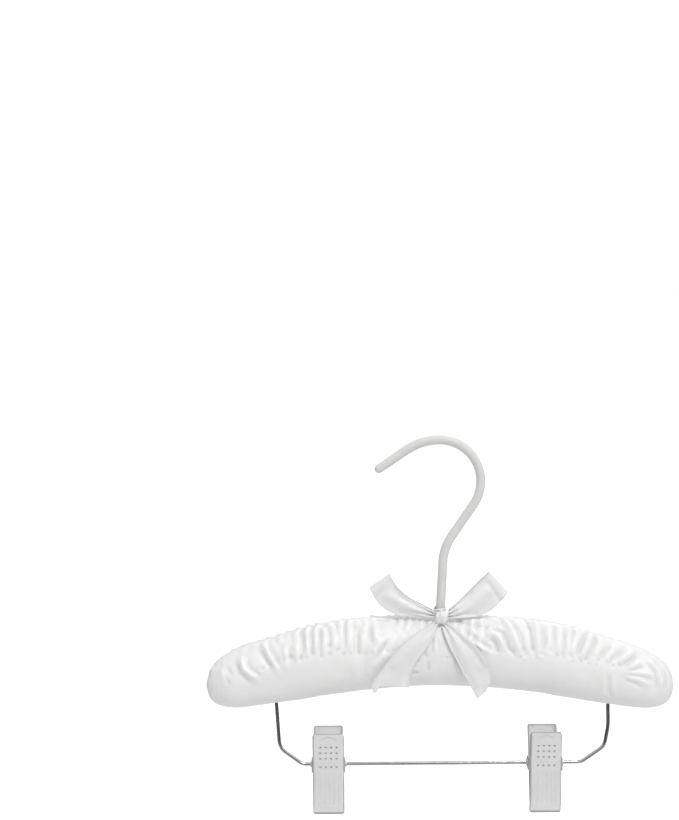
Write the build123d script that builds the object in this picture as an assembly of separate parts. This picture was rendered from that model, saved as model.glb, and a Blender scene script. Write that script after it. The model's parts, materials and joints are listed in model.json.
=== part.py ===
from build123d import *
import math
import os

# Child's satin padded clothes hanger with a sliding pair of pinch clips.
# Millimetres, +Z up, the hanger lies in the XZ plane and its front faces -Y.
# Origin: the seat of the hook, the point where the hook rests on a rail.

# ---------------------------------------------------------------- dimensions
# hook
WIRE_R = 1.80            # steel hook wire
SLEEVE_R = 2.95          # vinyl sleeve over the wire
SLEEVE_BORE_R = 1.82
HOOK_IN_R = 24.0         # inner radius, hangs on rails up to 48 mm
HOOK_C_R = HOOK_IN_R + SLEEVE_R
HOOK_C_Z = -HOOK_IN_R
NECK_TURN = 34.5         # degrees between the upright and the neck's diagonal
NECK_R = 32.0
LEAN = 3.1               # degrees the shank leans above the body
LEAN_Z = -116.5          # where it starts to lean
LEAN_R = 40.0
LIP_R = 38.4             # flatter arc on the open side
LIP_TURN = 34.0
LIP_RUN = 22.0
SLEEVE_END_Z = -122.2
WIRE_END_Z = -150.6

# padded body
MID_Z = -134.6           # midline height at the hook
MID_R = 494.0            # the core's midline droops on this radius
MID_C_Z = MID_Z - MID_R
# x, top, bottom, half depth
OUTLINE = [
    (0.0, -111.7, -157.5, 17.6),
    (25.0, -112.1, -158.4, 18.0),
    (50.0, -113.7, -160.6, 18.4),
    (76.0, -116.9, -164.0, 18.6),
    (92.0, -120.8, -166.7, 18.4),
    (109.0, -126.0, -169.2, 17.8),
    (120.0, -129.2, -170.8, 17.3),
    (128.5, -131.9, -171.7, 16.7),
    (135.0, -134.6, -172.0, 15.8),
    (141.6, -138.2, -171.3, 13.8),
    (146.0, -141.6, -169.8, 11.4),
    (149.5, -146.0, -167.0, 8.2),
    (151.4, -150.4, -163.4, 5.2),
    (152.2, -154.6, -160.0, 2.2),
]
END_X = 120.0            # the rounded end starts here
COVER_T = 0.8            # satin and its lining
COVER_GAP = 0.3
SEAM_GAP = 0.3           # half the gap between left and right pieces

# wooden core
CORE_A = 11.0            # half height
CORE_T = 12.0            # front to rear
CORE_END = 127.0
CORE_FILLET = 2.4
CORE_FIT = 0.1

# swivel hardware
RUN = 0.08               # radial running clearance of the hook wire
FERRULE_R = 3.6
FERRULE_FLANGE_R = 5.5
FERRULE_FLANGE_T = 1.0
FERRULE_LEN = 8.0
WASHER_R = 5.0
WASHER_T = 1.0
NUT_AF = 6.0
NUT_T = 2.8

# drop bar
BAR_R = 1.15
BAR_Z_L = -209.55
BAR_Z_R = -207.75
LEG_TOP = -149.5
LEG_L_TOP_X = -108.4
LEG_L_X = -104.0
LEG_R_X = 109.4
LEG_R_TOP_X = 109.9
BEND_TOP_L = (-104.75, -198.9)   # each corner is two bends with a slanted run between
BEND_LOW_L = (-89.9, BAR_Z_L)
BEND_MID_R = (110.3, -184.0)     # the right leg leans in a little below here
BEND_TOP_R = (107.9, -197.4)
BEND_LOW_R = (92.7, BAR_Z_R)
BEND_MID_RADIUS = 30.0
BEND_TOP_RADIUS = 9.5
BEND_LOW_RADIUS = 8.5

# clips
CLIP_X_L = -72.8
CLIP_X_R = 68.6
SHEET_T = 0.8
FRONT_W = 20.5
REAR_W = 19.3
FLANGE = 2.5
EAR_R_FRONT = 4.2
EAR_R_REAR = 3.6
PIVOT_R = 1.70
PIVOT_BORE_R = 1.20
PIVOT_LEN = 22.9
PIVOT_HEAD_R = 2.3
PIVOT_HEAD_T = 0.5
PIVOT_RUN = 0.05
SPRING_W = 9.0
SPRING_T = 0.45
DIMPLE_R = 0.78
DIMPLE_DEPTH = 0.5
DIMPLE_COLS = (-5.25, -1.75, 1.75, 5.25)
DIMPLE_ROWS = (13.0, 9.2, 5.3, -0.3)

# ribbon
RIBBON_T = 0.7

os.makedirs("parts", exist_ok=True)


def write(name, shape):
    export_step(shape, f"parts/{name}.step")


def only(shape):
    """The single solid of a shape, or all of them as one compound."""
    s = shape.solids()
    return s[0] if len(s) == 1 else Compound(children=list(s))


# ---------------------------------------------------------------- hook
def polar(cx, cz, r, deg):
    return (cx + r * math.cos(math.radians(deg)), cz + r * math.sin(math.radians(deg)))


def hook_path(bottom):
    """Upright foot, leaning shank, neck bend, diagonal, main arc, flatter arc and straight lip."""
    lean, turn = math.radians(LEAN), math.radians(NECK_TURN)
    c = polar(0, HOOK_C_Z, HOOK_C_R, -NECK_TURN)
    # the corner where the leaning shank would meet the diagonal
    k = (c[0] - c[1] * math.tan(turn) + LEAN_Z * math.tan(lean)) / (math.tan(lean) - math.tan(turn))
    corner = ((k - LEAN_Z) * math.tan(lean), k)
    t0 = LEAN_R * math.tan(lean / 2)
    t1 = NECK_R * math.tan((turn - lean) / 2)
    foot = (0.0, LEAN_Z - t0)
    foot_mid = polar(LEAN_R, LEAN_Z - t0, LEAN_R, 180 - LEAN / 2)
    shank = (t0 * math.sin(lean), LEAN_Z + t0 * math.cos(lean))
    a = (corner[0] - t1 * math.sin(lean), corner[1] - t1 * math.cos(lean))
    b = (corner[0] + t1 * math.sin(turn), corner[1] + t1 * math.cos(turn))
    hub = (a[0] + NECK_R * math.cos(lean), a[1] - NECK_R * math.sin(lean))
    m1 = polar(hub[0], hub[1], NECK_R, 180 - (LEAN + NECK_TURN) / 2)
    m2 = polar(0, HOOK_C_Z, HOOK_C_R, (90 - NECK_TURN) / 2)
    d = polar(0, HOOK_C_Z, HOOK_C_R, 90)
    lz = d[1] - LIP_R
    m3 = polar(0, lz, LIP_R, 90 + LIP_TURN / 2)
    e = polar(0, lz, LIP_R, 90 + LIP_TURN)
    t = math.radians(90 + LIP_TURN)
    f = (e[0] - LIP_RUN * math.sin(t), e[1] + LIP_RUN * math.cos(t))
    v = lambda p: (p[0], 0, p[1])
    path = Wire(
        [
            Edge.make_line((0, 0, bottom), v(foot)),
            Edge.make_three_point_arc(v(foot), v(foot_mid), v(shank)),
            Edge.make_line(v(shank), v(a)),
            Edge.make_three_point_arc(v(a), v(m1), v(b)),
            Edge.make_line(v(b), v(c)),
            Edge.make_three_point_arc(v(c), v(m2), v(d)),
            Edge.make_three_point_arc(v(d), v(m3), v(e)),
            Edge.make_line(v(e), v(f)),
        ]
    )
    return path, f


def rod(path, bottom, r):
    return sweep(Plane((0, 0, bottom), x_dir=(1, 0, 0), z_dir=(0, 0, 1)) * Circle(r), path=path)


sleeve_path, tip = hook_path(SLEEVE_END_Z)
wire_path, _ = hook_path(WIRE_END_Z)
tip3 = (tip[0], 0, tip[1])
hook_wire = rod(wire_path, WIRE_END_Z, WIRE_R)
hook_sleeve = rod(sleeve_path, SLEEVE_END_Z, SLEEVE_R) + Pos(*tip3) * Sphere(SLEEVE_R)
hook_sleeve = hook_sleeve - rod(hook_path(SLEEVE_END_Z - 1)[0], SLEEVE_END_Z - 1, SLEEVE_BORE_R)
write("hook_wire", only(hook_wire))
write("hook_sleeve", only(hook_sleeve))

core_top = MID_Z + CORE_A
core_bottom = MID_Z - CORE_A
washer_z = core_bottom - 0.02 - WASHER_T
nut_z = washer_z - 0.3 - NUT_T
nut = extrude(Plane((0, 0, nut_z)) * RegularPolygon(NUT_AF / 2, 6, major_radius=False), NUT_T)
nut = nut & (Pos(0, 0, nut_z + NUT_T / 2) * Sphere(NUT_AF / 2 * 1.17))
nut = nut - Pos(0, 0, nut_z + NUT_T / 2) * Cylinder(WIRE_R + 0.02, NUT_T * 2)
write("hook_nut", only(nut))

# ---------------------------------------------------------------- padded body
def slopes(col):
    """Gentle slopes at the outline's stations, for a smooth curve through them."""
    xs = [-OUTLINE[1][0]] + [o[0] for o in OUTLINE]
    vs = [OUTLINE[1][col]] + [o[col] for o in OUTLINE]
    out = []
    for i in range(1, len(xs)):
        if i == len(xs) - 1:
            out.append((vs[i] - vs[i - 1]) / (xs[i] - xs[i - 1]))
            continue
        h0, h1 = xs[i] - xs[i - 1], xs[i + 1] - xs[i]
        d0, d1 = (vs[i] - vs[i - 1]) / h0, (vs[i + 1] - vs[i]) / h1
        out.append((d0 * h1 + d1 * h0) / (h0 + h1))
    return out


SLOPES = {c: slopes(c) for c in (1, 2, 3)}


def outline(x, col):
    """Top (1), bottom (2) or half depth (3) of the padded body at x."""
    x = min(abs(x), OUTLINE[-1][0])
    for i, (p, q) in enumerate(zip(OUTLINE, OUTLINE[1:])):
        if x <= q[0]:
            h = q[0] - p[0]
            t = (x - p[0]) / h
            m0, m1 = SLOPES[col][i] * h, SLOPES[col][i + 1] * h
            return (
                (2 * t**3 - 3 * t**2 + 1) * p[col]
                + (t**3 - 2 * t**2 + t) * m0
                + (3 * t**2 - 2 * t**3) * q[col]
                + (t**3 - t**2) * m1
            )


def section(x, grow):
    """An upright ellipse across the body at x, with the surface moved out by grow."""
    top, low, b = outline(x, 1), outline(x, 2), outline(x, 3)
    f = min(1.0, max(0.0, (abs(x) - END_X) / (OUTLINE[-1][0] - END_X)))
    xg = math.copysign(abs(x) + grow * f * f, x) if x else 0.0
    plane = Plane((xg, 0, (top + low) / 2), x_dir=(0, 1, 0), z_dir=(1, 0, 0))
    return plane * Ellipse(max(b + grow * (1 - 0.35 * f), 0.8), max((top - low) / 2 + grow * (1 - 0.35 * f), 0.8))


STOPS = [10.0 * i for i in range(-12, 13)]
END_STOPS = [126.0, 131.0, 135.5, 139.5, 143.0, 146.0, 148.4, 150.2, 151.4, 152.2]


def body_loft(grow, x0, x1=120.0, cap=True):
    xs = [x0, *[x for x in STOPS if x0 + 1 < x < x1 - 1], x1]
    if cap:
        xs += END_STOPS
    return loft([section(x, grow) for x in xs], ruled=True)


def strip(a, half_t, end, grow=0.0):
    """A curved strip along the midline with rounded ends."""
    a, half_t = a + grow, half_t + grow
    s = math.asin(end / MID_R)

    def on(r, ang):
        return (r * math.sin(ang), MID_C_Z + r * math.cos(ang))

    top = [on(MID_R + a, k * s) for k in (-1, 0, 1)]
    low = [on(MID_R - a, k * s) for k in (-1, 0, 1)]
    tip_r = on(MID_R, s + a / MID_R)
    tip_l = on(MID_R, -s - a / MID_R)
    with BuildSketch(Plane.XZ) as sk:
        with BuildLine():
            ThreePointArc(*top)
            ThreePointArc(top[2], tip_r, low[2])
            ThreePointArc(*low)
            ThreePointArc(low[0], tip_l, top[0])
        make_face()
    return extrude(sk.sketch, half_t, both=True)


# ---------------------------------------------------------------- drop bar
bar_slope = math.atan2(BAR_Z_R - BAR_Z_L, LEG_R_X - LEG_L_X)


def bar_z(x):
    return BAR_Z_L + (x - LEG_L_X) * math.tan(bar_slope)


with BuildLine() as bar_line:
    FilletPolyline(
        (LEG_L_TOP_X, 0, LEG_TOP),
        (BEND_TOP_L[0], 0, BEND_TOP_L[1]),
        (BEND_LOW_L[0], 0, bar_z(BEND_LOW_L[0])),
        (BEND_LOW_R[0], 0, bar_z(BEND_LOW_R[0])),
        (BEND_TOP_R[0], 0, BEND_TOP_R[1]),
        (BEND_MID_R[0], 0, BEND_MID_R[1]),
        (LEG_R_TOP_X, 0, LEG_TOP),
        radius=[BEND_TOP_RADIUS, BEND_LOW_RADIUS, BEND_LOW_RADIUS, BEND_TOP_RADIUS, BEND_MID_RADIUS],
    )
bar_start = Vector(BEND_TOP_L[0] - LEG_L_TOP_X, 0, BEND_TOP_L[1] - LEG_TOP).normalized()


def bar_solid(r):
    return sweep(
        Plane((LEG_L_TOP_X, 0, LEG_TOP), x_dir=(0, 1, 0), z_dir=bar_start) * Circle(r),
        path=bar_line.wire(),
    )


drop_bar = bar_solid(BAR_R)
write("drop_bar", only(drop_bar))
bar_cut = bar_solid(BAR_R + 0.05)

# ---------------------------------------------------------------- core and hardware
core = strip(CORE_A, CORE_T / 2, CORE_END)
by_y = core.faces().sort_by(Axis.Y)
core = fillet(by_y[0].edges() + by_y[-1].edges(), CORE_FILLET)
shank_hole = Pos(0, 0, MID_Z) * Cylinder(WIRE_R + RUN, 40)
ferrule_hole = Pos(0, 0, core_top - FERRULE_LEN / 2 + 1) * Cylinder(FERRULE_R + 0.02, FERRULE_LEN + 2)
core = core - shank_hole - ferrule_hole - bar_cut
write("core", only(core))

ferrule = Pos(0, 0, core_top - FERRULE_LEN / 2) * Cylinder(FERRULE_R, FERRULE_LEN)
ferrule = ferrule + Pos(0, 0, core_top + FERRULE_FLANGE_T / 2 + 0.02) * Cylinder(FERRULE_FLANGE_R, FERRULE_FLANGE_T)
ferrule = ferrule + Pos(0, 0, core_top) * Cylinder(FERRULE_R, 0.2)
ferrule = ferrule - shank_hole
write("hook_ferrule", only(ferrule))
washer = Pos(0, 0, washer_z + WASHER_T / 2) * (Cylinder(WASHER_R, WASHER_T) - Cylinder(WIRE_R + RUN, 3))
write("hook_washer", only(washer))

# ---------------------------------------------------------------- padding and covers
sleeve_hole = Pos(0, 0, -116) * Cylinder(SLEEVE_R + 0.4, 16)
top_pocket = Pos(0, 0, core_top + 1.0) * Cylinder(FERRULE_FLANGE_R + 0.4, 3.2)
nut_pocket = Pos(0, 0, core_bottom - 3.2) * Cylinder(6.2, 7.6)
core_space = strip(CORE_A, CORE_T / 2, CORE_END, CORE_FIT)
leg_hole = bar_solid(BAR_R + 0.25)

pad = body_loft(-(COVER_T + COVER_GAP), SEAM_GAP)
pad_r = pad - core_space - sleeve_hole - top_pocket - nut_pocket - leg_hole
pad_l = mirror(pad, about=Plane.YZ) - core_space - sleeve_hole - top_pocket - nut_pocket - leg_hole
write("padding_right", only(pad_r))
write("padding_left", only(pad_l))

shell = body_loft(0.0, SEAM_GAP) - body_loft(-COVER_T, SEAM_GAP)
cov_r = shell - sleeve_hole - leg_hole
cov_l = mirror(shell, about=Plane.YZ) - sleeve_hole - leg_hole
write("cover_right", only(cov_r))
write("cover_left", only(cov_l))

# ---------------------------------------------------------------- bow
clear_body = body_loft(0.35, -60.0, 60.0, cap=False)
shank_clear = Pos(0, 0, -100) * Cylinder(SLEEVE_R + 0.4, 60)
shank_clear = shank_clear + Pos(0, 0, -93.5) * Cone(SLEEVE_R + 0.4, SLEEVE_R + 0.4 + 46 * math.tan(math.radians(LEAN)), 46)


def ribbon(rails, t=RIBBON_T):
    """A band between two rails of points, t thick, as a ruled solid."""
    ls = [Vector(*l) for l, r in rails]
    rs = [Vector(*r) for l, r in rails]
    faces = []
    for i, (l, r) in enumerate(zip(ls, rs)):
        j, k = max(0, i - 1), min(len(rails) - 1, i + 1)
        along = ((ls[k] + rs[k]) - (ls[j] + rs[j])).normalized()
        across = (r - l).normalized()
        n = along.cross(across).normalized() * (t / 2)
        faces.append(Wire.make_polygon([l + n, r + n, r - n, l - n], close=True))
    return Solid.make_loft(faces, ruled=True)


LOOP_LEFT = [
    ((-4.6, -9.6, -107.6), (-5.6, -9.6, -111.8)),
    ((-12.0, -8.8, -103.2), (-14.0, -9.2, -110.4)),
    ((-21.5, -8.0, -98.6), (-25.0, -8.6, -109.4)),
    ((-28.3, -7.0, -92.2), (-38.0, -7.4, -104.4)),
    ((-32.6, -5.4, -85.4), (-45.0, -5.6, -94.2)),
    ((-33.0, -3.4, -84.6), (-45.6, -3.4, -93.2)),
    ((-32.4, -1.4, -86.0), (-44.8, -1.2, -94.8)),
    ((-27.6, 0.2, -93.4), (-37.0, 0.4, -105.2)),
    ((-20.6, -0.6, -100.4), (-24.0, -1.0, -109.8)),
    ((-12.0, -2.8, -105.0), (-13.6, -3.4, -110.6)),
    ((-5.2, -5.6, -108.0), (-6.2, -6.0, -111.2)),
]
LOOP_RIGHT = [
    ((4.6, -9.6, -107.8), (5.6, -9.6, -111.8)),
    ((12.4, -8.8, -101.2), (16.0, -9.4, -111.4)),
    ((20.6, -8.0, -93.6), (28.0, -8.8, -109.8)),
    ((27.4, -6.8, -87.4), (38.2, -7.0, -102.4)),
    ((31.4, -5.2, -83.8), (42.8, -5.2, -97.0)),
    ((31.9, -3.2, -83.2), (43.4, -3.2, -96.2)),
    ((31.2, -1.2, -84.4), (42.4, -1.2, -97.4)),
    ((26.6, 0.4, -88.8), (37.0, 0.2, -103.4)),
    ((19.8, -0.4, -95.2), (27.0, -1.0, -109.6)),
    ((12.2, -2.8, -102.4), (15.4, -3.6, -110.6)),
    ((5.2, -5.6, -107.8), (6.4, -6.0, -111.2)),
]
TAIL_LEFT = [
    ((-2.6, -12.4, -116.6), (-7.0, -11.2, -114.4)),
    ((-6.2, -17.2, -123.6), (-14.6, -16.4, -120.8)),
    ((-12.0, -18.9, -131.6), (-25.0, -18.7, -127.8)),
    ((-17.2, -19.3, -139.6), (-33.0, -19.3, -136.0)),
    ((-20.6, -19.4, -147.4), (-40.0, -19.5, -145.6)),
    ((-21.4, -19.5, -154.0), (-46.4, -19.6, -153.2)),
]
TAIL_RIGHT = [
    ((1.6, -13.8, -118.6), (6.6, -12.2, -115.8)),
    ((3.2, -17.6, -125.6), (14.0, -16.6, -121.6)),
    ((6.6, -18.9, -134.0), (22.4, -18.8, -129.4)),
    ((11.2, -19.3, -142.4), (28.0, -19.4, -137.6)),
    ((16.8, -19.4, -152.0), (30.4, -19.5, -149.6)),
    ((21.6, -19.5, -160.2), (27.0, -19.5, -156.8)),
]
for name, rails in (
    ("bow_loop_left", LOOP_LEFT),
    ("bow_loop_right", LOOP_RIGHT),
    ("bow_tail_left", TAIL_LEFT),
    ("bow_tail_right", TAIL_RIGHT),
):
    band = ribbon(rails) - clear_body - shank_clear
    write(name, only(band))

knot = scale(Sphere(1.0), by=(3.9, 5.2, 6.2))
knot = Pos(0, -9.2, -112.0) * knot
wrap = Pos(0, -0.6, -108.8) * scale(Cylinder(1.0, 4.8), by=(4.3, 4.7, 1.0))
knot = (knot + wrap) - clear_body - shank_clear
write("bow_knot", only(knot))


# ---------------------------------------------------------------- clips
def offset_line(pts, d):
    """The polyline moved sideways by d, with mitred corners."""
    out = []
    for i, p in enumerate(pts):
        dirs = []
        for j, k in ((i - 1, i), (i, i + 1)):
            if j >= 0 and k < len(pts):
                dx, dz = pts[k][0] - pts[j][0], pts[k][1] - pts[j][1]
                m = math.hypot(dx, dz)
                dirs.append((dx / m, dz / m))
        nx = sum(-q[1] for q in dirs) / len(dirs)
        nz = sum(q[0] for q in dirs) / len(dirs)
        m2 = nx * nx + nz * nz
        out.append((p[0] + d * nx / m2, p[1] + d * nz / m2))
    return out


# centre of the jaw's sheet from the side: height, distance from the bar's plane
JAW_LINE = [
    (-32.6, 0.80),
    (-31.5, 0.98),
    (-29.4, 2.05),
    (-26.4, 3.80),
    (-22.0, 4.35),
    (-4.0, 5.70),
    (0.2, 6.20),
    (3.4, 6.50),
    (20.6, 9.30),
    (22.4, 9.60),
]
CLOSE_GAP = 0.2          # half the gap between the closed jaws
EDGE_R = 1.9             # rolled side edges
TOP_CUT_FRONT = (1.3, 2.4)   # the handle's top corners, across and down
TOP_CUT_REAR = (0.7, 0.9)
RIB_COLS = (-6.0, -3.0, 0.0, 3.0, 6.0)   # shallow pressed lines down the jaw's lower face
RIB_TOP, RIB_LOW = -4.5, -25.5
RIB_R = 0.9
RIB_DEPTH = 0.16


def jaw_v(w):
    """Distance of the sheet's centre from the bar's plane at height w."""
    for (wa, va), (wb, vb) in zip(JAW_LINE, JAW_LINE[1:]):
        if wa <= w <= wb:
            return va + (vb - va) * (w - wa) / (wb - wa)
    return JAW_LINE[-1][1]


def channel(w, v, half):
    """The sheet's cross-section at height w: flat with rolled side edges."""
    vo, vi = v + SHEET_T / 2, v - SHEET_T / 2
    vf = max(vo - FLANGE, CLOSE_GAP)
    ro = min(EDGE_R, (vo - vf) * 0.75)
    ri = max(0.12, min(ro - SHEET_T, (vi - vf) * 0.6))
    c = math.sqrt(0.5)
    P = lambda u, y: (u, y, w)
    hi = half - SHEET_T
    edges = [
        Edge.make_line(P(-half, vf), P(-half, vo - ro)),
        Edge.make_three_point_arc(P(-half, vo - ro), P(-half + ro - ro * c, vo - ro + ro * c), P(-half + ro, vo)),
        Edge.make_line(P(-half + ro, vo), P(half - ro, vo)),
        Edge.make_three_point_arc(P(half - ro, vo), P(half - ro + ro * c, vo - ro + ro * c), P(half, vo - ro)),
        Edge.make_line(P(half, vo - ro), P(half, vf)),
        Edge.make_line(P(half, vf), P(hi, vf)),
        Edge.make_line(P(hi, vf), P(hi, vi - ri)),
        Edge.make_three_point_arc(P(hi, vi - ri), P(hi - ri + ri * c, vi - ri + ri * c), P(hi - ri, vi)),
        Edge.make_line(P(hi - ri, vi), P(-hi + ri, vi)),
        Edge.make_three_point_arc(P(-hi + ri, vi), P(-hi + ri - ri * c, vi - ri + ri * c), P(-hi, vi - ri)),
        Edge.make_line(P(-hi, vi - ri), P(-hi, vf)),
        Edge.make_line(P(-hi, vf), P(-half, vf)),
    ]
    return Wire(edges)


def jaw(width, ear_r, ear_u0, ear_u1, top_cut):
    """A jaw on the +Y side of a bar that runs along X through the origin."""
    half = width / 2
    plate = Solid.make_loft([channel(w, v, half) for w, v in JAW_LINE], ruled=True)
    lo, hi = JAW_LINE[0][0], JAW_LINE[-1][0]
    r = 1.5
    with BuildSketch(Plane.XZ) as sk:
        with BuildLine():
            Polyline(
                (-half - 1, hi - top_cut[1]),
                (-half, hi - top_cut[1]),
                (-half + top_cut[0], hi),
                (half - top_cut[0], hi),
                (half, hi - top_cut[1]),
                (half + 1, hi - top_cut[1]),
                (half + 1, lo + r),
                (half, lo + r),
                (half - r * 0.3, lo + r * 0.3),
                (half - r, lo),
                (-half + r, lo),
                (-half + r * 0.3, lo + r * 0.3),
                (-half, lo + r),
                (-half - 1, lo + r),
                close=True,
            )
        make_face()
    body = plate & extrude(sk.sketch, 30, both=True)
    for s in (-1, 1):
        u, t = s * (ear_u0 + ear_u1) / 2, ear_u1 - ear_u0
        body = body + Pos(u, 0, 0) * Rot(0, 90, 0) * Cylinder(ear_r, t)
        body = body + Pos(u, 2.4, 0) * Box(t, 4.8, 2 * ear_r)
    body = body - Rot(0, 90, 0) * Cylinder(PIVOT_R + PIVOT_RUN, 40)
    rho = (DIMPLE_R**2 + DIMPLE_DEPTH**2) / (2 * DIMPLE_DEPTH)
    for w in DIMPLE_ROWS:
        for u in DIMPLE_COLS:
            v = jaw_v(w) + SHEET_T / 2
            body = body - Pos(u, v + rho - DIMPLE_DEPTH, w) * Sphere(rho)
    # shallow pressed lines down the lower face
    va, vb = jaw_v(RIB_LOW) + SHEET_T / 2, jaw_v(RIB_TOP) + SHEET_T / 2
    run = math.hypot(vb - va, RIB_TOP - RIB_LOW)
    tilt = math.degrees(math.atan2(vb - va, RIB_TOP - RIB_LOW))
    for u in RIB_COLS:
        rod_cut = Cylinder(RIB_R, run) + Pos(0, 0, run / 2) * Sphere(RIB_R) + Pos(0, 0, -run / 2) * Sphere(RIB_R)
        body = body - Pos(u, (va + vb) / 2 + RIB_R - RIB_DEPTH, (RIB_LOW + RIB_TOP) / 2) * Rot(-tilt, 0, 0) * rod_cut
    # shallow thumb groove below the handle's top edge
    v = jaw_v(19.0) + SHEET_T / 2
    ring = Rot(90, 0, 0) * (Cylinder(6.4, 2.0) - Cylinder(5.5, 3.0))
    ring = Pos(0, v + 0.76, 13.9) * ring
    ring = ring & (Pos(0, v, 20.0) * Box(30, 10, 5.6))
    body = body - ring
    return body


front_jaw = mirror(jaw(FRONT_W, EAR_R_FRONT, 9.95, 11.0, TOP_CUT_FRONT), about=Plane.XZ)
rear_jaw = jaw(REAR_W, EAR_R_REAR, 8.75, 9.6, TOP_CUT_REAR)

sleeve = Rot(0, 90, 0) * Cylinder(PIVOT_R, PIVOT_LEN)
for s in (-1, 1):
    sleeve = sleeve + Pos(s * (PIVOT_LEN + PIVOT_HEAD_T) / 2, 0, 0) * Rot(0, 90, 0) * Cylinder(PIVOT_HEAD_R, PIVOT_HEAD_T)
sleeve = sleeve - Rot(0, 90, 0) * Cylinder(PIVOT_BORE_R, 40)

SPRING_R = 2.25          # centre of the strip around the pivot
bend = [(SPRING_R * math.cos(math.radians(a)), SPRING_R * math.sin(math.radians(a))) for a in range(170, 371, 20)]
spring_line = [(-6.55, 14.7), (-7.3, 13.9), (-7.25, 12.6), (-2.9, 2.2)] + bend + [(2.9, 2.2), (7.25, 12.6), (7.3, 13.9), (6.55, 14.7)]
sa = offset_line(spring_line, SPRING_T / 2)
sb = offset_line(spring_line, -SPRING_T / 2)
spring = extrude(Plane.YZ * make_face(Polyline(*sa, *sb[::-1], close=True)), SPRING_W / 2, both=True)

for side, x in (("left", CLIP_X_L), ("right", CLIP_X_R)):
    at = Pos(x, 0, bar_z(x)) * Rot(0, -math.degrees(bar_slope), 0)
    for name, shape in (
        ("front_jaw", front_jaw),
        ("rear_jaw", rear_jaw),
        ("pivot_sleeve", sleeve),
        ("spring", spring),
    ):
        write(f"clip_{side}_{name}", only(at * shape))
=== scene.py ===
"""Satin padded child's hanger: the soft goods, materials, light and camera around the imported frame."""

import json
import math

import bpy
import numpy as np
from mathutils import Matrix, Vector


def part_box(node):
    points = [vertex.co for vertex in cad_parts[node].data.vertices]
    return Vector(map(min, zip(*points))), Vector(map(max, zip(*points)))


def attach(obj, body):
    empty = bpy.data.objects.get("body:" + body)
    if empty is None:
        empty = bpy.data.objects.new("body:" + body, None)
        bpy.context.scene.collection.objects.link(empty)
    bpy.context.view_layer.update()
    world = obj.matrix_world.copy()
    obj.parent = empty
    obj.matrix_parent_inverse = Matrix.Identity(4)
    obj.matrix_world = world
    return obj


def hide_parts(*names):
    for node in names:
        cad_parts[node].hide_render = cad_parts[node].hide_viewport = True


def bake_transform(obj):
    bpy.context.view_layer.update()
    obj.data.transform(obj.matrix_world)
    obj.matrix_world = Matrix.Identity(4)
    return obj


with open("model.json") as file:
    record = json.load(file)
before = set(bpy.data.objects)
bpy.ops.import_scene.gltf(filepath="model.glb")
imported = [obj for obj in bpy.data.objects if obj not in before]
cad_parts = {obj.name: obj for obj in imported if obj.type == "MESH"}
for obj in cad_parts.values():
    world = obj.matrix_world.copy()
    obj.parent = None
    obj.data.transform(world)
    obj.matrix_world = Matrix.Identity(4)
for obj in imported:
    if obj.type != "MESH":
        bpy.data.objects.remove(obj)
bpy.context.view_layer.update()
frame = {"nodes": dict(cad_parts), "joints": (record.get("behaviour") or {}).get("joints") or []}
nodes = frame["nodes"]

MM = 0.001

# ---------------------------------------------------------------- camera
cam_data = bpy.data.cameras.new("camera")
cam_data.lens = 50.6
cam_data.sensor_width = 36
cam_data.clip_start, cam_data.clip_end = 0.01, 50
cam = bpy.data.objects.new("camera", cam_data)
cam.location = (-0.0656, -0.755, 0.0225)
cam.rotation_euler = (math.pi / 2, 0, 0)
bpy.context.scene.collection.objects.link(cam)
bpy.context.scene.camera = cam


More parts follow.
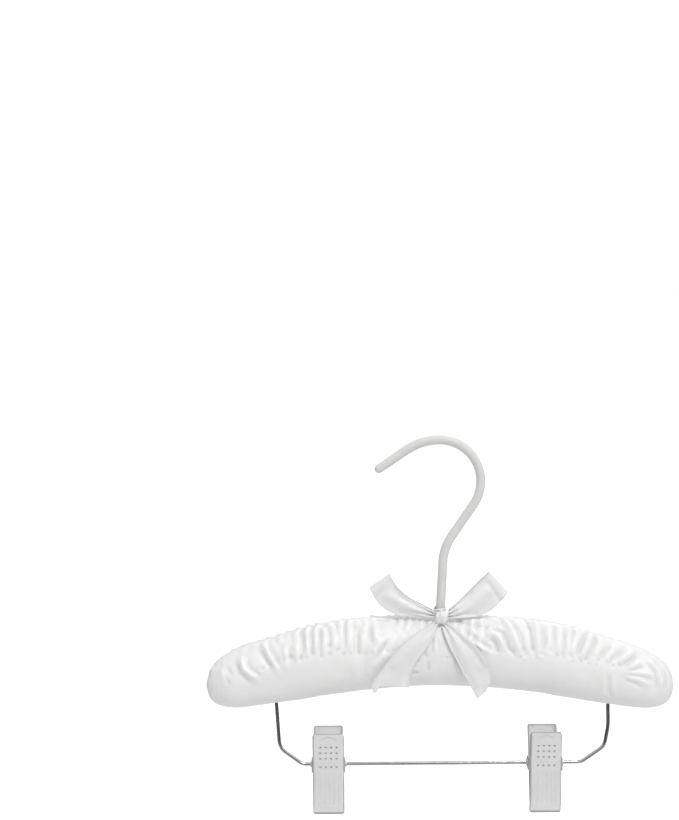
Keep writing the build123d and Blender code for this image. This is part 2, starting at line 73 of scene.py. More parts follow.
# ---------------------------------------------------------------- node helpers
class Tree:
    """A short way to write a material's nodes."""

    def __init__(self, name):
        self.mat = bpy.data.materials.new(name)
        self.mat.use_nodes = True
        self.n = self.mat.node_tree.nodes
        self.l = self.mat.node_tree.links
        self.bsdf = self.n["Principled BSDF"]
        self.coord = self.n.new("ShaderNodeTexCoord")

    def set(self, **values):
        for k, v in values.items():
            self.bsdf.inputs[k.replace("_", " ")].default_value = v

    def map(self, scale, source="Object", rot=(0, 0, 0)):
        m = self.n.new("ShaderNodeMapping")
        m.inputs["Scale"].default_value = scale
        m.inputs["Rotation"].default_value = rot
        self.l.new(self.coord.outputs[source], m.inputs["Vector"])
        return m.outputs["Vector"]

    def noise(self, vector, scale=1.0, detail=2.0, rough=0.5):
        t = self.n.new("ShaderNodeTexNoise")
        t.inputs["Scale"].default_value = scale
        t.inputs["Detail"].default_value = detail
        t.inputs["Roughness"].default_value = rough
        self.l.new(vector, t.inputs["Vector"])
        return t.outputs["Fac"]

    def wave(self, vector, scale=1.0, distortion=0.0, direction="X", detail=0.0):
        t = self.n.new("ShaderNodeTexWave")
        t.bands_direction = direction
        t.inputs["Scale"].default_value = scale
        t.inputs["Distortion"].default_value = distortion
        t.inputs["Detail"].default_value = detail
        self.l.new(vector, t.inputs["Vector"])
        return t.outputs["Fac"]

    def ramp(self, fac, stops):
        r = self.n.new("ShaderNodeValToRGB")
        e = r.color_ramp.elements
        while len(e) < len(stops):
            e.new(0.5)
        for el, (p, c) in zip(e, stops):
            el.position = p
            el.color = (*c, 1) if hasattr(c, "__len__") else (c, c, c, 1)
        self.l.new(fac, r.inputs["Fac"])
        return r.outputs["Color"]

    def math(self, op, a, b=None):
        m = self.n.new("ShaderNodeMath")
        m.operation = op
        for i, x in enumerate((a, b)):
            if x is None:
                continue
            if isinstance(x, (int, float)):
                m.inputs[i].default_value = x
            else:
                self.l.new(x, m.inputs[i])
        return m.outputs[0]

    def mix(self, fac, a, b, kind="MIX"):
        m = self.n.new("ShaderNodeMix")
        m.data_type = "RGBA"
        m.blend_type = kind
        for i, x in ((0, fac), (6, a), (7, b)):
            if isinstance(x, (int, float)):
                m.inputs[i].default_value = x
            elif isinstance(x, tuple):
                m.inputs[i].default_value = (*x, 1)
            else:
                self.l.new(x, m.inputs[i])
        return m.outputs[2]

    def bump(self, height, distance, strength=1.0, after=None):
        b = self.n.new("ShaderNodeBump")
        b.inputs["Distance"].default_value = distance
        b.inputs["Strength"].default_value = strength
        self.l.new(height, b.inputs["Height"])
        if after is not None:
            self.l.new(after, b.inputs["Normal"])
        return b.outputs["Normal"]

    def to(self, socket, value):
        self.l.new(value, self.bsdf.inputs[socket])


def satin_material(name, light, dark, along="X"):
    t = Tree(name)
    t.set(Roughness=0.4, Sheen_Weight=0.12, Sheen_Roughness=0.4, Anisotropic=0.25)
    cloud = t.noise(t.map((90, 90, 90)), detail=3.0)
    threads = t.noise(t.map((500, 5200, 5200)), detail=1.0)
    picks = t.noise(t.map((4200, 900, 900)), detail=1.0)
    tone = t.math("ADD", t.math("MULTIPLY", cloud, 0.6), t.math("MULTIPLY", threads, 0.4))
    # painted shade in the creases and a painted highlight on the ridges, read from the gather attribute
    gather = t.n.new("ShaderNodeAttribute")
    gather.attribute_name = "gather"
    fold = t.math("ADD", t.math("MULTIPLY", gather.outputs["Fac"], 0.5), 0.5)
    fold = t.ramp(fold, [(0.0, (0.83, 0.83, 0.83)), (0.5, (0.96, 0.96, 0.96)), (1.0, (1, 1, 1))])
    t.to("Base Color", t.mix(1.0, t.ramp(tone, [(0.32, dark), (0.62, light)]), fold, "MULTIPLY"))
    t.to("Roughness", t.ramp(t.math("ADD", t.math("MULTIPLY", cloud, 0.5), t.math("MULTIPLY", picks, 0.5)), [(0.3, 0.36), (0.7, 0.46)]))
    n = t.bump(threads, 0.00006, 0.5)
    n = t.bump(picks, 0.00003, 0.35, n)
    t.to("Normal", n)
    return t.mat


def ribbon_material(name):
    """Threads run along the ribbon, with a firmer woven edge. UV: u along in metres, v across 0 to 1."""
    t = Tree(name)
    t.set(Roughness=0.38, Sheen_Weight=0.1, Sheen_Roughness=0.4, Anisotropic=0.3)
    split = t.n.new("ShaderNodeSeparateXYZ")
    t.l.new(t.coord.outputs["UV"], split.inputs[0])
    edge = t.math("MULTIPLY", t.math("ABSOLUTE", t.math("SUBTRACT", split.outputs["Y"], 0.5)), 2.0)
    cloud = t.noise(t.map((80, 80, 80)), detail=3.0)
    warp = t.noise(t.map((260, 74, 1), "UV"), detail=1.0)
    weft = t.noise(t.map((2600, 6, 1), "UV"), detail=1.0)
    tone = t.math("ADD", t.math("MULTIPLY", cloud, 0.5), t.math("MULTIPLY", warp, 0.5))
    col = t.ramp(tone, [(0.3, (0.80, 0.80, 0.804)), (0.68, (0.86, 0.86, 0.862))])
    rim = t.ramp(edge, [(0.88, 0.0), (0.93, 1.0), (1.0, 0.75)])
    t.to("Base Color", t.mix(rim, col, (0.77, 0.77, 0.774)))
    t.to("Roughness", t.ramp(t.math("ADD", t.math("MULTIPLY", cloud, 0.4), t.math("MULTIPLY", warp, 0.6)), [(0.3, 0.33), (0.7, 0.45)]))
    n = t.bump(warp, 0.00006, 0.6)
    n = t.bump(weft, 0.00003, 0.5, n)
    t.to("Normal", n)
    return t.mat


def metal_material(name, light, dark, rough, grain=(900, 900, 90), bump=0.00002, spread=0.08, metal=1.0):
    t = Tree(name)
    t.set(Metallic=metal)
    g = t.noise(t.map(grain), detail=3.0)
    c = t.noise(t.map((120, 120, 120)), detail=3.0)
    tone = t.math("ADD", t.math("MULTIPLY", g, 0.5), t.math("MULTIPLY", c, 0.5))
    t.to("Base Color", t.ramp(tone, [(0.3, dark), (0.65, light)]))
    t.to("Roughness", t.ramp(tone, [(0.3, rough - spread), (0.7, rough + spread)]))
    t.to("Normal", t.bump(g, bump, 0.4))
    return t.mat


def vinyl_material(name):
    t = Tree(name)
    t.set(Specular_IOR_Level=0.4, Subsurface_Weight=0.06, Subsurface_Radius=(0.0012, 0.001, 0.0009))
    cloud = t.noise(t.map((70, 70, 70)), detail=3.0)
    streak = t.noise(t.map((2200, 2200, 110)), detail=2.0)
    fine = t.noise(t.map((2600, 2600, 2600)), detail=2.0)
    tone = t.math("ADD", t.math("MULTIPLY", cloud, 0.5), t.math("MULTIPLY", streak, 0.5))
    t.to("Base Color", t.ramp(tone, [(0.3, (0.70, 0.697, 0.685)), (0.68, (0.77, 0.767, 0.755))]))
    t.to("Roughness", t.ramp(tone, [(0.3, 0.42), (0.7, 0.54)]))
    n = t.bump(fine, 0.00003, 0.3)
    t.to("Normal", t.bump(streak, 0.00006, 0.25, n))
    return t.mat


def wood_material(name):
    t = Tree(name)
    t.set(Roughness=0.6)
    g = t.noise(t.map((18, 260, 420)), detail=4.0)
    fine = t.noise(t.map((60, 2400, 2400)), detail=2.0)
    tone = t.math("ADD", t.math("MULTIPLY", g, 0.7), t.math("MULTIPLY", fine, 0.3))
    t.to("Base Color", t.ramp(tone, [(0.3, (0.46, 0.29, 0.15)), (0.5, (0.60, 0.41, 0.23)), (0.72, (0.70, 0.52, 0.32))]))
    t.to("Roughness", t.ramp(g, [(0.3, 0.55), (0.7, 0.68)]))
    t.to("Normal", t.bump(fine, 0.00008, 0.5))
    return t.mat


def clip_material(side, jaw):
    """Satin plating, with painted shade in the pressed pits, a painted shadow along the sheet's edges and painted shade
    at the lip.
    """
    name = f"clip_{side}_{jaw}_jaw"
    lo, hi = (np.array(b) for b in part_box(name))
    pivot = next(j for j in frame["joints"] if j["name"] == f"clip_{side}_open")["pos_m"]
    t = Tree(f"clip_plate_{side}_{jaw}")
    t.set(Metallic=0.4)
    split = t.n.new("ShaderNodeSeparateXYZ")
    t.l.new(t.coord.outputs["Object"], split.inputs[0])
    x = t.math("SUBTRACT", split.outputs["X"], float(pivot[0]))
    z = t.math("SUBTRACT", split.outputs["Z"], float(pivot[2]))
    grain = t.noise(t.map((2400, 2400, 160)), detail=3.0)
    cloud = t.noise(t.map((120, 120, 120)), detail=3.0)
    tone = t.math("ADD", t.math("MULTIPLY", grain, 0.5), t.math("MULTIPLY", cloud, 0.5))
    col = t.ramp(tone, [(0.3, (0.81, 0.81, 0.812)), (0.65, (0.88, 0.88, 0.882))])
    # painted shade in the pressed pits: four columns and four rows
    dx = t.math("MINIMUM", t.math("ABSOLUTE", t.math("SUBTRACT", t.math("ABSOLUTE", x), 0.00175)), t.math("ABSOLUTE", t.math("SUBTRACT", t.math("ABSOLUTE", x), 0.00525)))
    dz = None
    for row in (13.0, 9.2, 5.3, -0.3):
        d = t.math("ABSOLUTE", t.math("SUBTRACT", z, row * MM))
        dz = d if dz is None else t.math("MINIMUM", dz, d)
    r = t.math("SQRT", t.math("ADD", t.math("MULTIPLY", dx, dx), t.math("MULTIPLY", dz, dz)))
    pit = t.ramp(t.math("DIVIDE", r, 0.0012), [(0.35, 1.0), (0.75, 0.0)])
    # painted shadow along the sheet's sides and top edge
    half = 10.25 if jaw == "front" else 9.65
    rim = t.math("SUBTRACT", half * MM, t.math("ABSOLUTE", x))
    rim = t.math("MINIMUM", rim, t.math("SUBTRACT", float(hi[2] - pivot[2]), z))
    rim = t.math("MULTIPLY", t.math("ADD", rim, t.math("MULTIPLY", t.math("SUBTRACT", cloud, 0.5), 0.0009)), 1000.0)
    edge = t.ramp(t.math("DIVIDE", rim, 2.0), [(0.18, 0.75), (0.5, 0.0)])
    # painted shade along the bottom lip
    low = t.math("MULTIPLY", t.math("SUBTRACT", z, float(lo[2] - pivot[2])), 1000.0)
    lip = t.ramp(t.math("DIVIDE", low, 4.0), [(0.30, 1.0), (0.46, 0.0)])
    # the pits, edges and lip together: painted shade, mixed towards dark grey
    painted_shade = t.math("MAXIMUM", t.math("MAXIMUM", pit, edge), lip)
    t.to("Base Color", t.mix(t.math("MULTIPLY", painted_shade, 0.8), col, (0.33, 0.33, 0.335)))
    t.to("Roughness", t.ramp(tone, [(0.3, 0.36), (0.7, 0.5)]))
    t.to("Normal", t.bump(grain, 0.00002, 0.4))
    return t.mat


SATIN = satin_material("white_satin", (0.94, 0.94, 0.936), (0.89, 0.89, 0.885))
RIBBON = ribbon_material("ribbon_satin_white")
VINYL = vinyl_material("vinyl_sleeve")
WIRE = metal_material("drawn_wire", (0.62, 0.62, 0.63), (0.5, 0.5, 0.51), 0.32)
ZINC = metal_material("zinc_plate", (0.70, 0.70, 0.72), (0.58, 0.58, 0.6), 0.38)
CHROME = metal_material("bar_plate", (0.50, 0.50, 0.51), (0.40, 0.40, 0.41), 0.2, grain=(60, 1500, 1500), spread=0.05)
CLIP = metal_material("clip_plate", (0.86, 0.86, 0.862), (0.79, 0.79, 0.792), 0.42, grain=(2400, 2400, 160), metal=0.45)
SPRING = metal_material("spring_strip", (0.46, 0.46, 0.47), (0.36, 0.36, 0.38), 0.3, grain=(2400, 200, 200))
WOOD = wood_material("beech_core")

for name, mat in {
    "hook_sleeve": VINYL,
    "hook_wire": WIRE,
    "hook_nut": ZINC,
    "hook_ferrule": ZINC,
    "hook_washer": ZINC,
    "core": WOOD,
    "drop_bar": CHROME,
}.items():
    nodes[name].data.materials[0] = mat
for side in ("left", "right"):
    nodes[f"clip_{side}_pivot_sleeve"].data.materials[0] = CLIP
    for jaw in ("front", "rear"):
        nodes[f"clip_{side}_{jaw}_jaw"].data.materials[0] = clip_material(side, jaw)


# ---------------------------------------------------------------- mesh helpers
def add_mesh(name, verts, faces, mat, uvs=None):
    """A smooth-shaded mesh object from points in millimetres. uvs is one pair per vertex."""
    me = bpy.data.meshes.new(name)
    me.from_pydata((np.asarray(verts, float) * MM).tolist(), [], faces)
    me.validate()
    me.polygons.foreach_set("use_smooth", [True] * len(me.polygons))
    if uvs is not None:
        layer = me.uv_layers.new(name="UVMap")
        idx = np.zeros(len(me.loops), np.int32)
        me.loops.foreach_get("vertex_index", idx)
        layer.data.foreach_set("uv", np.asarray(uvs, np.float32)[idx].ravel())
    me.materials.append(mat)
    o = bpy.data.objects.new(name, me)
    bpy.context.scene.collection.objects.link(o)
    return o


def grid_normals(p, wrap=False):
    """Unit normals of an n x m grid of points; wrap closes the second direction."""
    du = np.gradient(p, axis=0)
    if wrap:
        dv = (np.roll(p, -1, 1) - np.roll(p, 1, 1)) / 2
    else:
        dv = np.gradient(p, axis=1)
    n = np.cross(du, dv)
    return n / np.maximum(np.linalg.norm(n, axis=2, keepdims=True), 1e-12)


def smoothstep(a, b, x):
    t = np.clip((x - a) / (b - a), 0, 1)
    return t * t * (3 - 2 * t)


def value_noise(p, scale, seed):
    """Smooth noise from -1 to 1 at points p, with cells of scale millimetres."""
    lattice = np.random.RandomState(seed).uniform(-1, 1, (32, 32, 32))
    q = np.asarray(p, float) / np.asarray(scale, float) + 500.0
    i = np.floor(q).astype(int)
    f = q - i
    f = f * f * (3 - 2 * f)
    out = 0.0
    for a in (0, 1):
        for b in (0, 1):
            for c in (0, 1):
                w = (
                    (f[..., 0] if a else 1 - f[..., 0])
                    * (f[..., 1] if b else 1 - f[..., 1])
                    * (f[..., 2] if c else 1 - f[..., 2])
                )
                out = out + w * lattice[(i[..., 0] + a) % 32, (i[..., 1] + b) % 32, (i[..., 2] + c) % 32]
    return out


# ---------------------------------------------------------------- padded body in gathered satin
# distance from the middle, top, bottom, half depth, in millimetres
OUTLINE = np.array(
    [
        (0.0, -111.7, -157.5, 17.6),
        (25.0, -112.1, -158.4, 18.0),
        (50.0, -113.7, -160.6, 18.4),
        (76.0, -116.9, -164.0, 18.6),
        (92.0, -120.8, -166.7, 18.4),
        (109.0, -126.0, -169.2, 17.8),
        (120.0, -129.2, -170.8, 17.3),
        (128.5, -131.9, -171.7, 16.7),
        (135.0, -134.6, -172.0, 15.8),
        (141.6, -138.2, -171.3, 13.8),
        (146.0, -141.6, -169.8, 11.4),
        (149.5, -146.0, -167.0, 8.2),
        (151.4, -150.4, -163.4, 5.2),
        (152.2, -154.6, -160.0, 2.2),
    ]
)
BODY_END = OUTLINE[-1, 0]


def outline(x, col):
    """Top (1), bottom (2) or half depth (3) at distance x from the middle."""
    xs, vs = OUTLINE[:, 0], OUTLINE[:, col]
    xe, ve = np.concatenate([[-xs[1]], xs]), np.concatenate([[vs[1]], vs])
    h, d = np.diff(xe), np.diff(ve) / np.diff(xe)
    m = np.append((d[:-1] * h[1:] + d[1:] * h[:-1]) / (h[:-1] + h[1:]), d[-1])
    x = np.clip(np.abs(x), 0, BODY_END)
    i = np.clip(np.searchsorted(xs, x, side="right") - 1, 0, len(xs) - 2)
    w = xs[i + 1] - xs[i]
    t = (x - xs[i]) / w
    return (
        (2 * t**3 - 3 * t**2 + 1) * vs[i]
        + (t**3 - 2 * t**2 + t) * w * m[i]
        + (3 * t**2 - 2 * t**3) * vs[i + 1]
        + (t**3 - t**2) * w * m[i + 1]
    )


def front_y(x, z):
    """How far forward the smooth body stands at (x, z), as a positive depth."""
    top, low, dep = outline(x, 1), outline(x, 2), outline(x, 3)
    q = np.clip((z - (top + low) / 2) / ((top - low) / 2), -1, 1)
    return dep * np.sqrt(1 - q * q)


def arc_table(x):
    """Angle from the top, and arc length to it, over half the section at x."""
    a, b = (outline(x, 1) - outline(x, 2)) / 2, outline(x, 3)
    th = np.linspace(0, math.pi, 361)
    ds = np.hypot(b * np.cos(th), a * np.sin(th))
    s = np.concatenate([[0], np.cumsum((ds[1:] + ds[:-1]) / 2 * np.diff(th))])
    return th, s


def down(x, z):
    """Arc length over the front from the top ridge down to height z, at x."""
    top, low = outline(x, 1), outline(x, 2)
    q = np.clip((z - (top + low) / 2) / ((top - low) / 2), -1, 1)
    th, s = arc_table(x)
    return float(np.interp(math.acos(q), th, s))


# Folds on the front: height (a crease is negative), width, then points (x, z) on the surface.
FRONT_FOLDS = [
    (1.30, 2.10, [(-129.3, -137.8), (-126.6, -144.1), (-117.0, -150.7)]),
    (-.80, 1.40, [(-125.3, -138.2), (-123.1, -142.7), (-115.3, -148.2)]),
    (-.60, 1.80, [(-132.1, -140.3), (-129.8, -145.9), (-121.7, -152.7)]),
    (1.10, 1.70, [(-114.7, -130.1), (-110.1, -135.8), (-104.0, -145.9)]),
    (-.60, 1.30, [(-111.7, -130.5), (-107.3, -136.2), (-101.5, -144.4)]),
    (-.55, 2.00, [(-117.3, -132.0), (-112.9, -138.1), (-107.4, -146.4)]),
    (.80, 1.20, [(-100.7, -130.3), (-99.8, -136.4), (-99.2, -143.9)]),
    (-.60, 1.10, [(-98.0, -130.2), (-97.2, -136.4), (-96.6, -142.4)]),
    (-.50, 1.10, [(-95.3, -135.0), (-93.8, -139.8)]),
    (.45, 1.20, [(-93.1, -128.3), (-92.0, -138.1)]),
    (-.50, 1.10, [(-90.4, -134.4), (-89.4, -139.0)]),
    (.85, 1.40, [(-86.7, -120.8), (-86.0, -135.1)]),
    (-.50, 1.30, [(-89.5, -123.2), (-88.4, -134.8)]),
    (.95, 2.10, [(-81.1, -119.4), (-80.5, -135.4)]),
    (-1.00, 0.85, [(-78.1, -119.2), (-77.7, -135.9)]),
    (-.60, 0.80, [(-83.7, -121.4), (-83.2, -135.2)]),
    (1.00, 1.70, [(-79.5, -118.7), (-79.1, -119.2)]),
    (-.70, 1.60, [(-72.5, -127.3), (-71.7, -130.1)]),
    (-.65, 1.20, [(-66.2, -129.5), (-65.8, -131.4)]),
    (.50, 1.60, [(-75.1, -120.2), (-74.6, -131.4)]),
    (.50, 1.60, [(-69.2, -117.4), (-68.5, -130.9)]),
    (-1.00, 0.95, [(-62.2, -113.2), (-62.2, -121.5), (-62.1, -131.3)]),
    (.70, 1.10, [(-60.2, -115.5), (-60.1, -130.4)]),
    (.60, 1.30, [(-64.6, -116.0), (-64.2, -127.7)]),
    (-.85, 1.05, [(-53.8, -120.1), (-53.5, -134.6)]),
    (.65, 1.10, [(-51.3, -120.5), (-51.2, -131.8)]),
    (-.55, 0.90, [(-56.6, -122.3), (-56.2, -134.6)]),
    (.50, 1.10, [(-58.0, -118.2), (-58.2, -133.2)]),
    (-.85, 1.40, [(-45.9, -117.5), (-45.3, -126.5)]),
    (.65, 1.20, [(-42.6, -117.9), (-42.4, -126.7)]),
    (.60, 1.20, [(-48.7, -118.4), (-48.5, -126.7)]),
    (-.85, 1.25, [(-35.2, -125.7), (-38.2, -130.5), (-43.1, -136.5)]),
    (.70, 1.30, [(-37.8, -124.5), (-41.2, -130.0), (-46.1, -135.1)]),
    (.70, 3.20, [(-35.7, -132.2), (-45.5, -143.0)]),
    (-.55, 0.90, [(-43.2, -114.4), (-32.3, -114.3)]),
    (-.45, 1.30, [(-137.4, -143.7), (-134.2, -148.9)]),
    (-.45, 1.30, [(-139.7, -147.9), (-135.7, -154.3)]),
    (.40, 1.60, [(-142.4, -144.7), (-138.8, -152.5)]),
    (.30, 3.00, [(-55.5, -137.0), (-53.6, -152.1)]),
    (-.30, 2.40, [(-49.2, -134.1), (-48.5, -152.2)]),
    (1.25, 1.70, [(8.2, -110.9), (15.9, -113.7), (25.0, -114.5), (35.2, -114.8)]),
    (-.90, 1.30, [(10.2, -114.5), (20.7, -116.8), (31.6, -117.3)]),
    (.90, 1.90, [(17.7, -119.1), (21.5, -120.9)]),
    (-.60, 1.20, [(16.2, -121.2), (21.8, -123.2), (25.1, -123.4)]),
    (1.10, 1.70, [(15.4, -124.7), (26.0, -130.4), (33.0, -133.6)]),
    (-.70, 1.20, [(18.3, -123.2), (27.3, -127.4), (34.0, -130.9)]),
    (1.20, 1.90, [(28.4, -120.7), (35.6, -122.3), (38.1, -126.6), (39.1, -133.6)]),
    (-1.35, 1.25, [(33.2, -117.8), (39.8, -120.3), (42.7, -129.4), (47.5, -136.4)]),
    (-.80, 1.20, [(29.6, -124.4), (33.6, -126.5), (35.0, -131.3)]),
    (1.00, 1.90, [(43.2, -116.8), (46.5, -121.3), (48.4, -127.6), (50.9, -134.1)]),
    (-.60, 1.20, [(47.4, -115.8), (50.5, -121.4), (52.0, -129.4), (52.9, -133.2)]),
    (-1.40, 1.15, [(55.3, -111.8), (56.5, -116.2), (57.5, -120.6), (58.0, -130.4), (59.3, -135.7)]),
    (.70, 1.30, [(54.3, -119.7), (54.6, -128.5), (55.4, -134.1)]),
    (.90, 1.90, [(62.0, -115.0), (61.8, -121.5), (61.9, -133.2)]),
    (-.40, 1.40, [(65.9, -119.2), (65.0, -132.7)]),
    (.55, 2.00, [(70.3, -117.1), (68.4, -132.8)]),
    (-.40, 1.30, [(73.0, -120.1), (71.6, -133.7)]),
    (.55, 2.00, [(77.3, -118.1), (74.6, -133.7)]),
    (-.45, 1.30, [(79.6, -121.5), (77.5, -134.2)]),
    (.70, 1.70, [(84.7, -119.4), (81.6, -126.2), (80.0, -135.5)]),
    (.65, 1.50, [(88.8, -120.6), (85.6, -127.2), (83.2, -136.6)]),
    (-.50, 1.10, [(86.4, -120.5), (83.2, -128.0), (81.6, -135.2)]),
    (-1.00, 1.15, [(96.6, -122.4), (89.8, -128.2), (85.0, -136.2)]),
    (.80, 1.70, [(98.1, -123.9), (93.1, -130.0), (88.5, -137.1)]),
    (-.60, 1.10, [(100.7, -125.5), (96.2, -131.0), (91.8, -138.1)]),
    (.70, 1.50, [(104.6, -126.8), (98.0, -134.6), (95.5, -138.9)]),
    (-.90, 1.20, [(110.0, -129.5), (104.3, -133.4), (100.5, -137.7)]),
    (.80, 1.60, [(113.4, -130.5), (107.2, -134.9), (102.5, -139.8)]),
    (1.20, 1.90, [(124.6, -133.4), (118.0, -136.5), (112.1, -139.7)]),
    (-.60, 1.30, [(116.9, -132.4), (110.6, -136.4), (106.6, -140.8)]),
    (-.95, 1.25, [(126.5, -136.2), (120.3, -139.0), (114.4, -141.7)]),
    (1.20, 1.80, [(127.9, -139.8), (122.7, -141.5), (117.7, -143.6)]),
    (-.70, 1.20, [(129.6, -142.4), (123.5, -144.0), (117.4, -145.1)]),
    (.80, 1.50, [(116.5, -145.5), (125.8, -145.9), (137.5, -148.3)]),
    (-.55, 1.20, [(117.7, -147.0), (126.7, -148.0), (136.2, -151.0)]),
    (.60, 1.70, [(117.7, -148.4), (125.6, -150.2), (134.3, -154.2)]),
    (-.40, 1.40, [(116.7, -149.9), (123.6, -152.4), (129.8, -156.7)]),
    (.65, 1.90, [(133.7, -138.2), (138.9, -144.3), (141.7, -150.9), (141.0, -157.7)]),
    (-.50, 1.40, [(131.7, -139.9), (136.1, -144.9), (138.2, -150.6), (137.6, -157.4)]),
    (-.40, 1.50, [(143.9, -144.4), (146.0, -150.5), (145.3, -157.2)]),
    (-.34, 2.20, [(106.8, -145.5), (106.6, -152.9), (108.1, -162.9)]),
    (.30, 2.80, [(110.2, -146.9), (110.0, -153.9), (111.8, -164.0)]),
    (.22, 2.60, [(103.3, -147.8), (104.5, -163.0)]),
    (-.50, 0.90, [(61.4, -161.7), (70.9, -162.2), (78.9, -163.4)]),
    (-.70, 1.20, [(50.5, -134.7), (50.1, -136.4)]),
    (.50, 1.20, [(53.2, -135.7), (53.0, -137.0)]),
    (-.70, 1.10, [(60.7, -135.1), (60.4, -137.0)]),
    (-.50, 1.10, [(65.8, -133.8), (65.9, -135.5)]),
    (.50, 1.20, [(63.2, -134.5), (63.2, -136.0)]),
    (-.50, 1.20, [(72.0, -135.5), (71.6, -137.0)]),
    (-.60, 1.10, [(77.5, -135.3), (77.0, -136.8)]),
    (-.55, 1.20, [(83.3, -137.6), (83.1, -139.0)]),
    (-.50, 1.10, [(88.8, -137.7), (88.4, -139.2)]),
    (-.50, 1.20, [(93.7, -139.1), (93.3, -140.6)]),
    (-.45, 1.10, [(99.1, -140.1), (98.6, -141.6)]),
    (.40, 1.20, [(80.8, -137.1), (80.6, -138.2)]),
    (-.80, 1.80, [(-11.7, -132.7), (-9.4, -135.2)]),
    (-.55, 1.50, [(-9.1, -137.8), (-8.4, -146.0)]),
    (-.70, 1.30, [(8.6, -134.4), (10.8, -139.6)]),
    (-.80, 0.90, [(-20.5, -138.5), (-17.2, -137.7), (-13.5, -137.8)]),
    (.60, 1.20, [(-20.1, -140.5), (-13.8, -140.0)]),
    (-.50, 0.90, [(-20.0, -146.6), (-14.5, -146.0)]),
    (.50, 1.30, [(-19.6, -143.4), (-14.2, -143.3)]),
    (-.80, 0.90, [(-5.9, -123.0), (-5.8, -134.2)]),
    (.70, 1.00, [(-4.0, -122.1), (-4.1, -133.8)]),
    (-.70, 0.90, [(-2.2, -123.9), (-2.1, -134.3)]),
    (.70, 1.20, [(.1, -123.0), (.2, -133.8)]),
    (.60, 1.10, [(-8.0, -123.9), (-8.4, -131.8)]),
    (-.50, 1.20, [(-15.2, -130.9), (-12.3, -131.7)]),
    (-.60, 1.10, [(-2.5, -135.8), (2.4, -136.1), (6.3, -135.6)]),
]


def line_distance(x, v, pts):
    """Distance of each (x, v) to a polyline, and how far along it the nearest point is, 0 to 1."""
    pts = np.asarray(pts, float)
    seg = np.diff(pts, axis=0)
    length = np.linalg.norm(seg, axis=1)
    total, run = max(length.sum(), 1e-6), 0.0
    best, along = np.full(x.shape, 1e9), np.zeros(x.shape)
    for p, s, m in zip(pts, seg, length):
        t = np.clip(((x - p[0]) * s[0] + (v - p[1]) * s[1]) / max(m * m, 1e-9), 0, 1)
        d = np.hypot(x - p[0] - t * s[0], v - p[1] - t * s[1])
        near = d < best
        best = np.where(near, d, best)
        along = np.where(near, (run + t * m) / total, along)
        run += m
    return best, along


def fold_list(side):
    """Every fold of one half as (height, width, points (|x|, v)); v is the arc length from the top ridge, negative at the rear."""
    sign = -1 if side == "left" else 1
    out = []
    for h, w, pts in FRONT_FOLDS:
        if abs(pts[0][0]) < 14:
            if all(sign * p[0] < -3 for p in pts):
                continue
        elif sign * pts[0][0] < 0:
            continue
        out.append((h, w, [(sign * p[0], down(p[0], p[1])) for p in pts]))
    r = np.random.RandomState(41 if side == "left" else 87)
    # the rear: gathers run down from the top seam and die out near mid height
    x = 5.0
    while x < 139:
        long = r.uniform(15, 25) * (1 if x < 120 else 0.8)
        lean = r.uniform(-1.5, 2.5) + 3.0 * max(0, (x - 100) / 40)
        w, h = r.uniform(1.1, 2.1), r.uniform(0.55, 1.2)
        start = r.uniform(2.4, 5.5)
        bend = r.uniform(-1.2, 1.2)
        out.append((h, w, [(x, -start), (x + lean * 0.4 + bend, -(start + long * 0.5)), (x + lean, -(start + long))]))
        gap = r.uniform(1.9, 3.0) * w / 1.5
        out.append((-h * r.uniform(0.5, 1.0), w * 0.65, [(x + gap, -start - 0.5), (x + gap + lean * 0.4 + bend, -(start + long * 0.5)), (x + gap + lean, -(start + long * r.uniform(0.85, 1.1)))]))
        if r.uniform() < 0.75:
            out.append((-r.uniform(0.4, 0.8), r.uniform(0.9, 1.5), [(x + lean, -(start + long + 1.0)), (x + lean + r.uniform(-1, 1), -(start + long + r.uniform(2.5, 4.5)))]))
        x += r.uniform(3.6, 7.4)
    # a few soft diagonal drags low at the rear
    for _ in range(9):
        x0, v0 = r.uniform(12, 132), -r.uniform(38, 56)
        out.append((0.2 * r.choice([-1, 1]) * r.uniform(0.25, 0.5), r.uniform(1.8, 3.2), [(x0, v0), (x0 + r.uniform(-6, 8), v0 + r.uniform(-9, 9))]))
    # the rounded end, rear: folds fan out from the last of the gathers
    for k in range(6):
        a = math.radians(-35 + 24 * k + r.uniform(-6, 6))
        x0, v0 = 122 + r.uniform(-2, 2), -27 + r.uniform(-2, 2)
        m = r.uniform(13, 20)
        out.append((r.choice([-0.55, 0.75]), r.uniform(1.3, 1.9), [(x0, v0), (x0 + m * math.cos(a), v0 - m * math.sin(a) * 0.9)]))
    # fine gathers that every seam has, between the larger folds, on both sides
    for s in (-1, 1):
        x = 3.0
        while x < 141:
            long = r.uniform(4, 10)
            out.append((r.uniform(0.12, 0.3), r.uniform(0.7, 1.1), [(x, s * r.uniform(3.0, 4.5)), (x + r.uniform(-0.8, 1.0), s * (long + 3.0))]))
            x += r.uniform(2.2, 4.2)
    return out


STITCH = np.array([(0, -131.5), (40, -131.5), (60, -132.2), (80, -134.4), (100, -137.6), (112, -140.6), (124, -144.0), (153, -150.0)])


def stitch_row(x):
    """Arc length, each x, down to the row of stitches that the gathers run into."""
    z = np.interp(x, STITCH[:, 0], STITCH[:, 1])
    return np.array([down(xi, zi) for xi, zi in zip(x, z)])


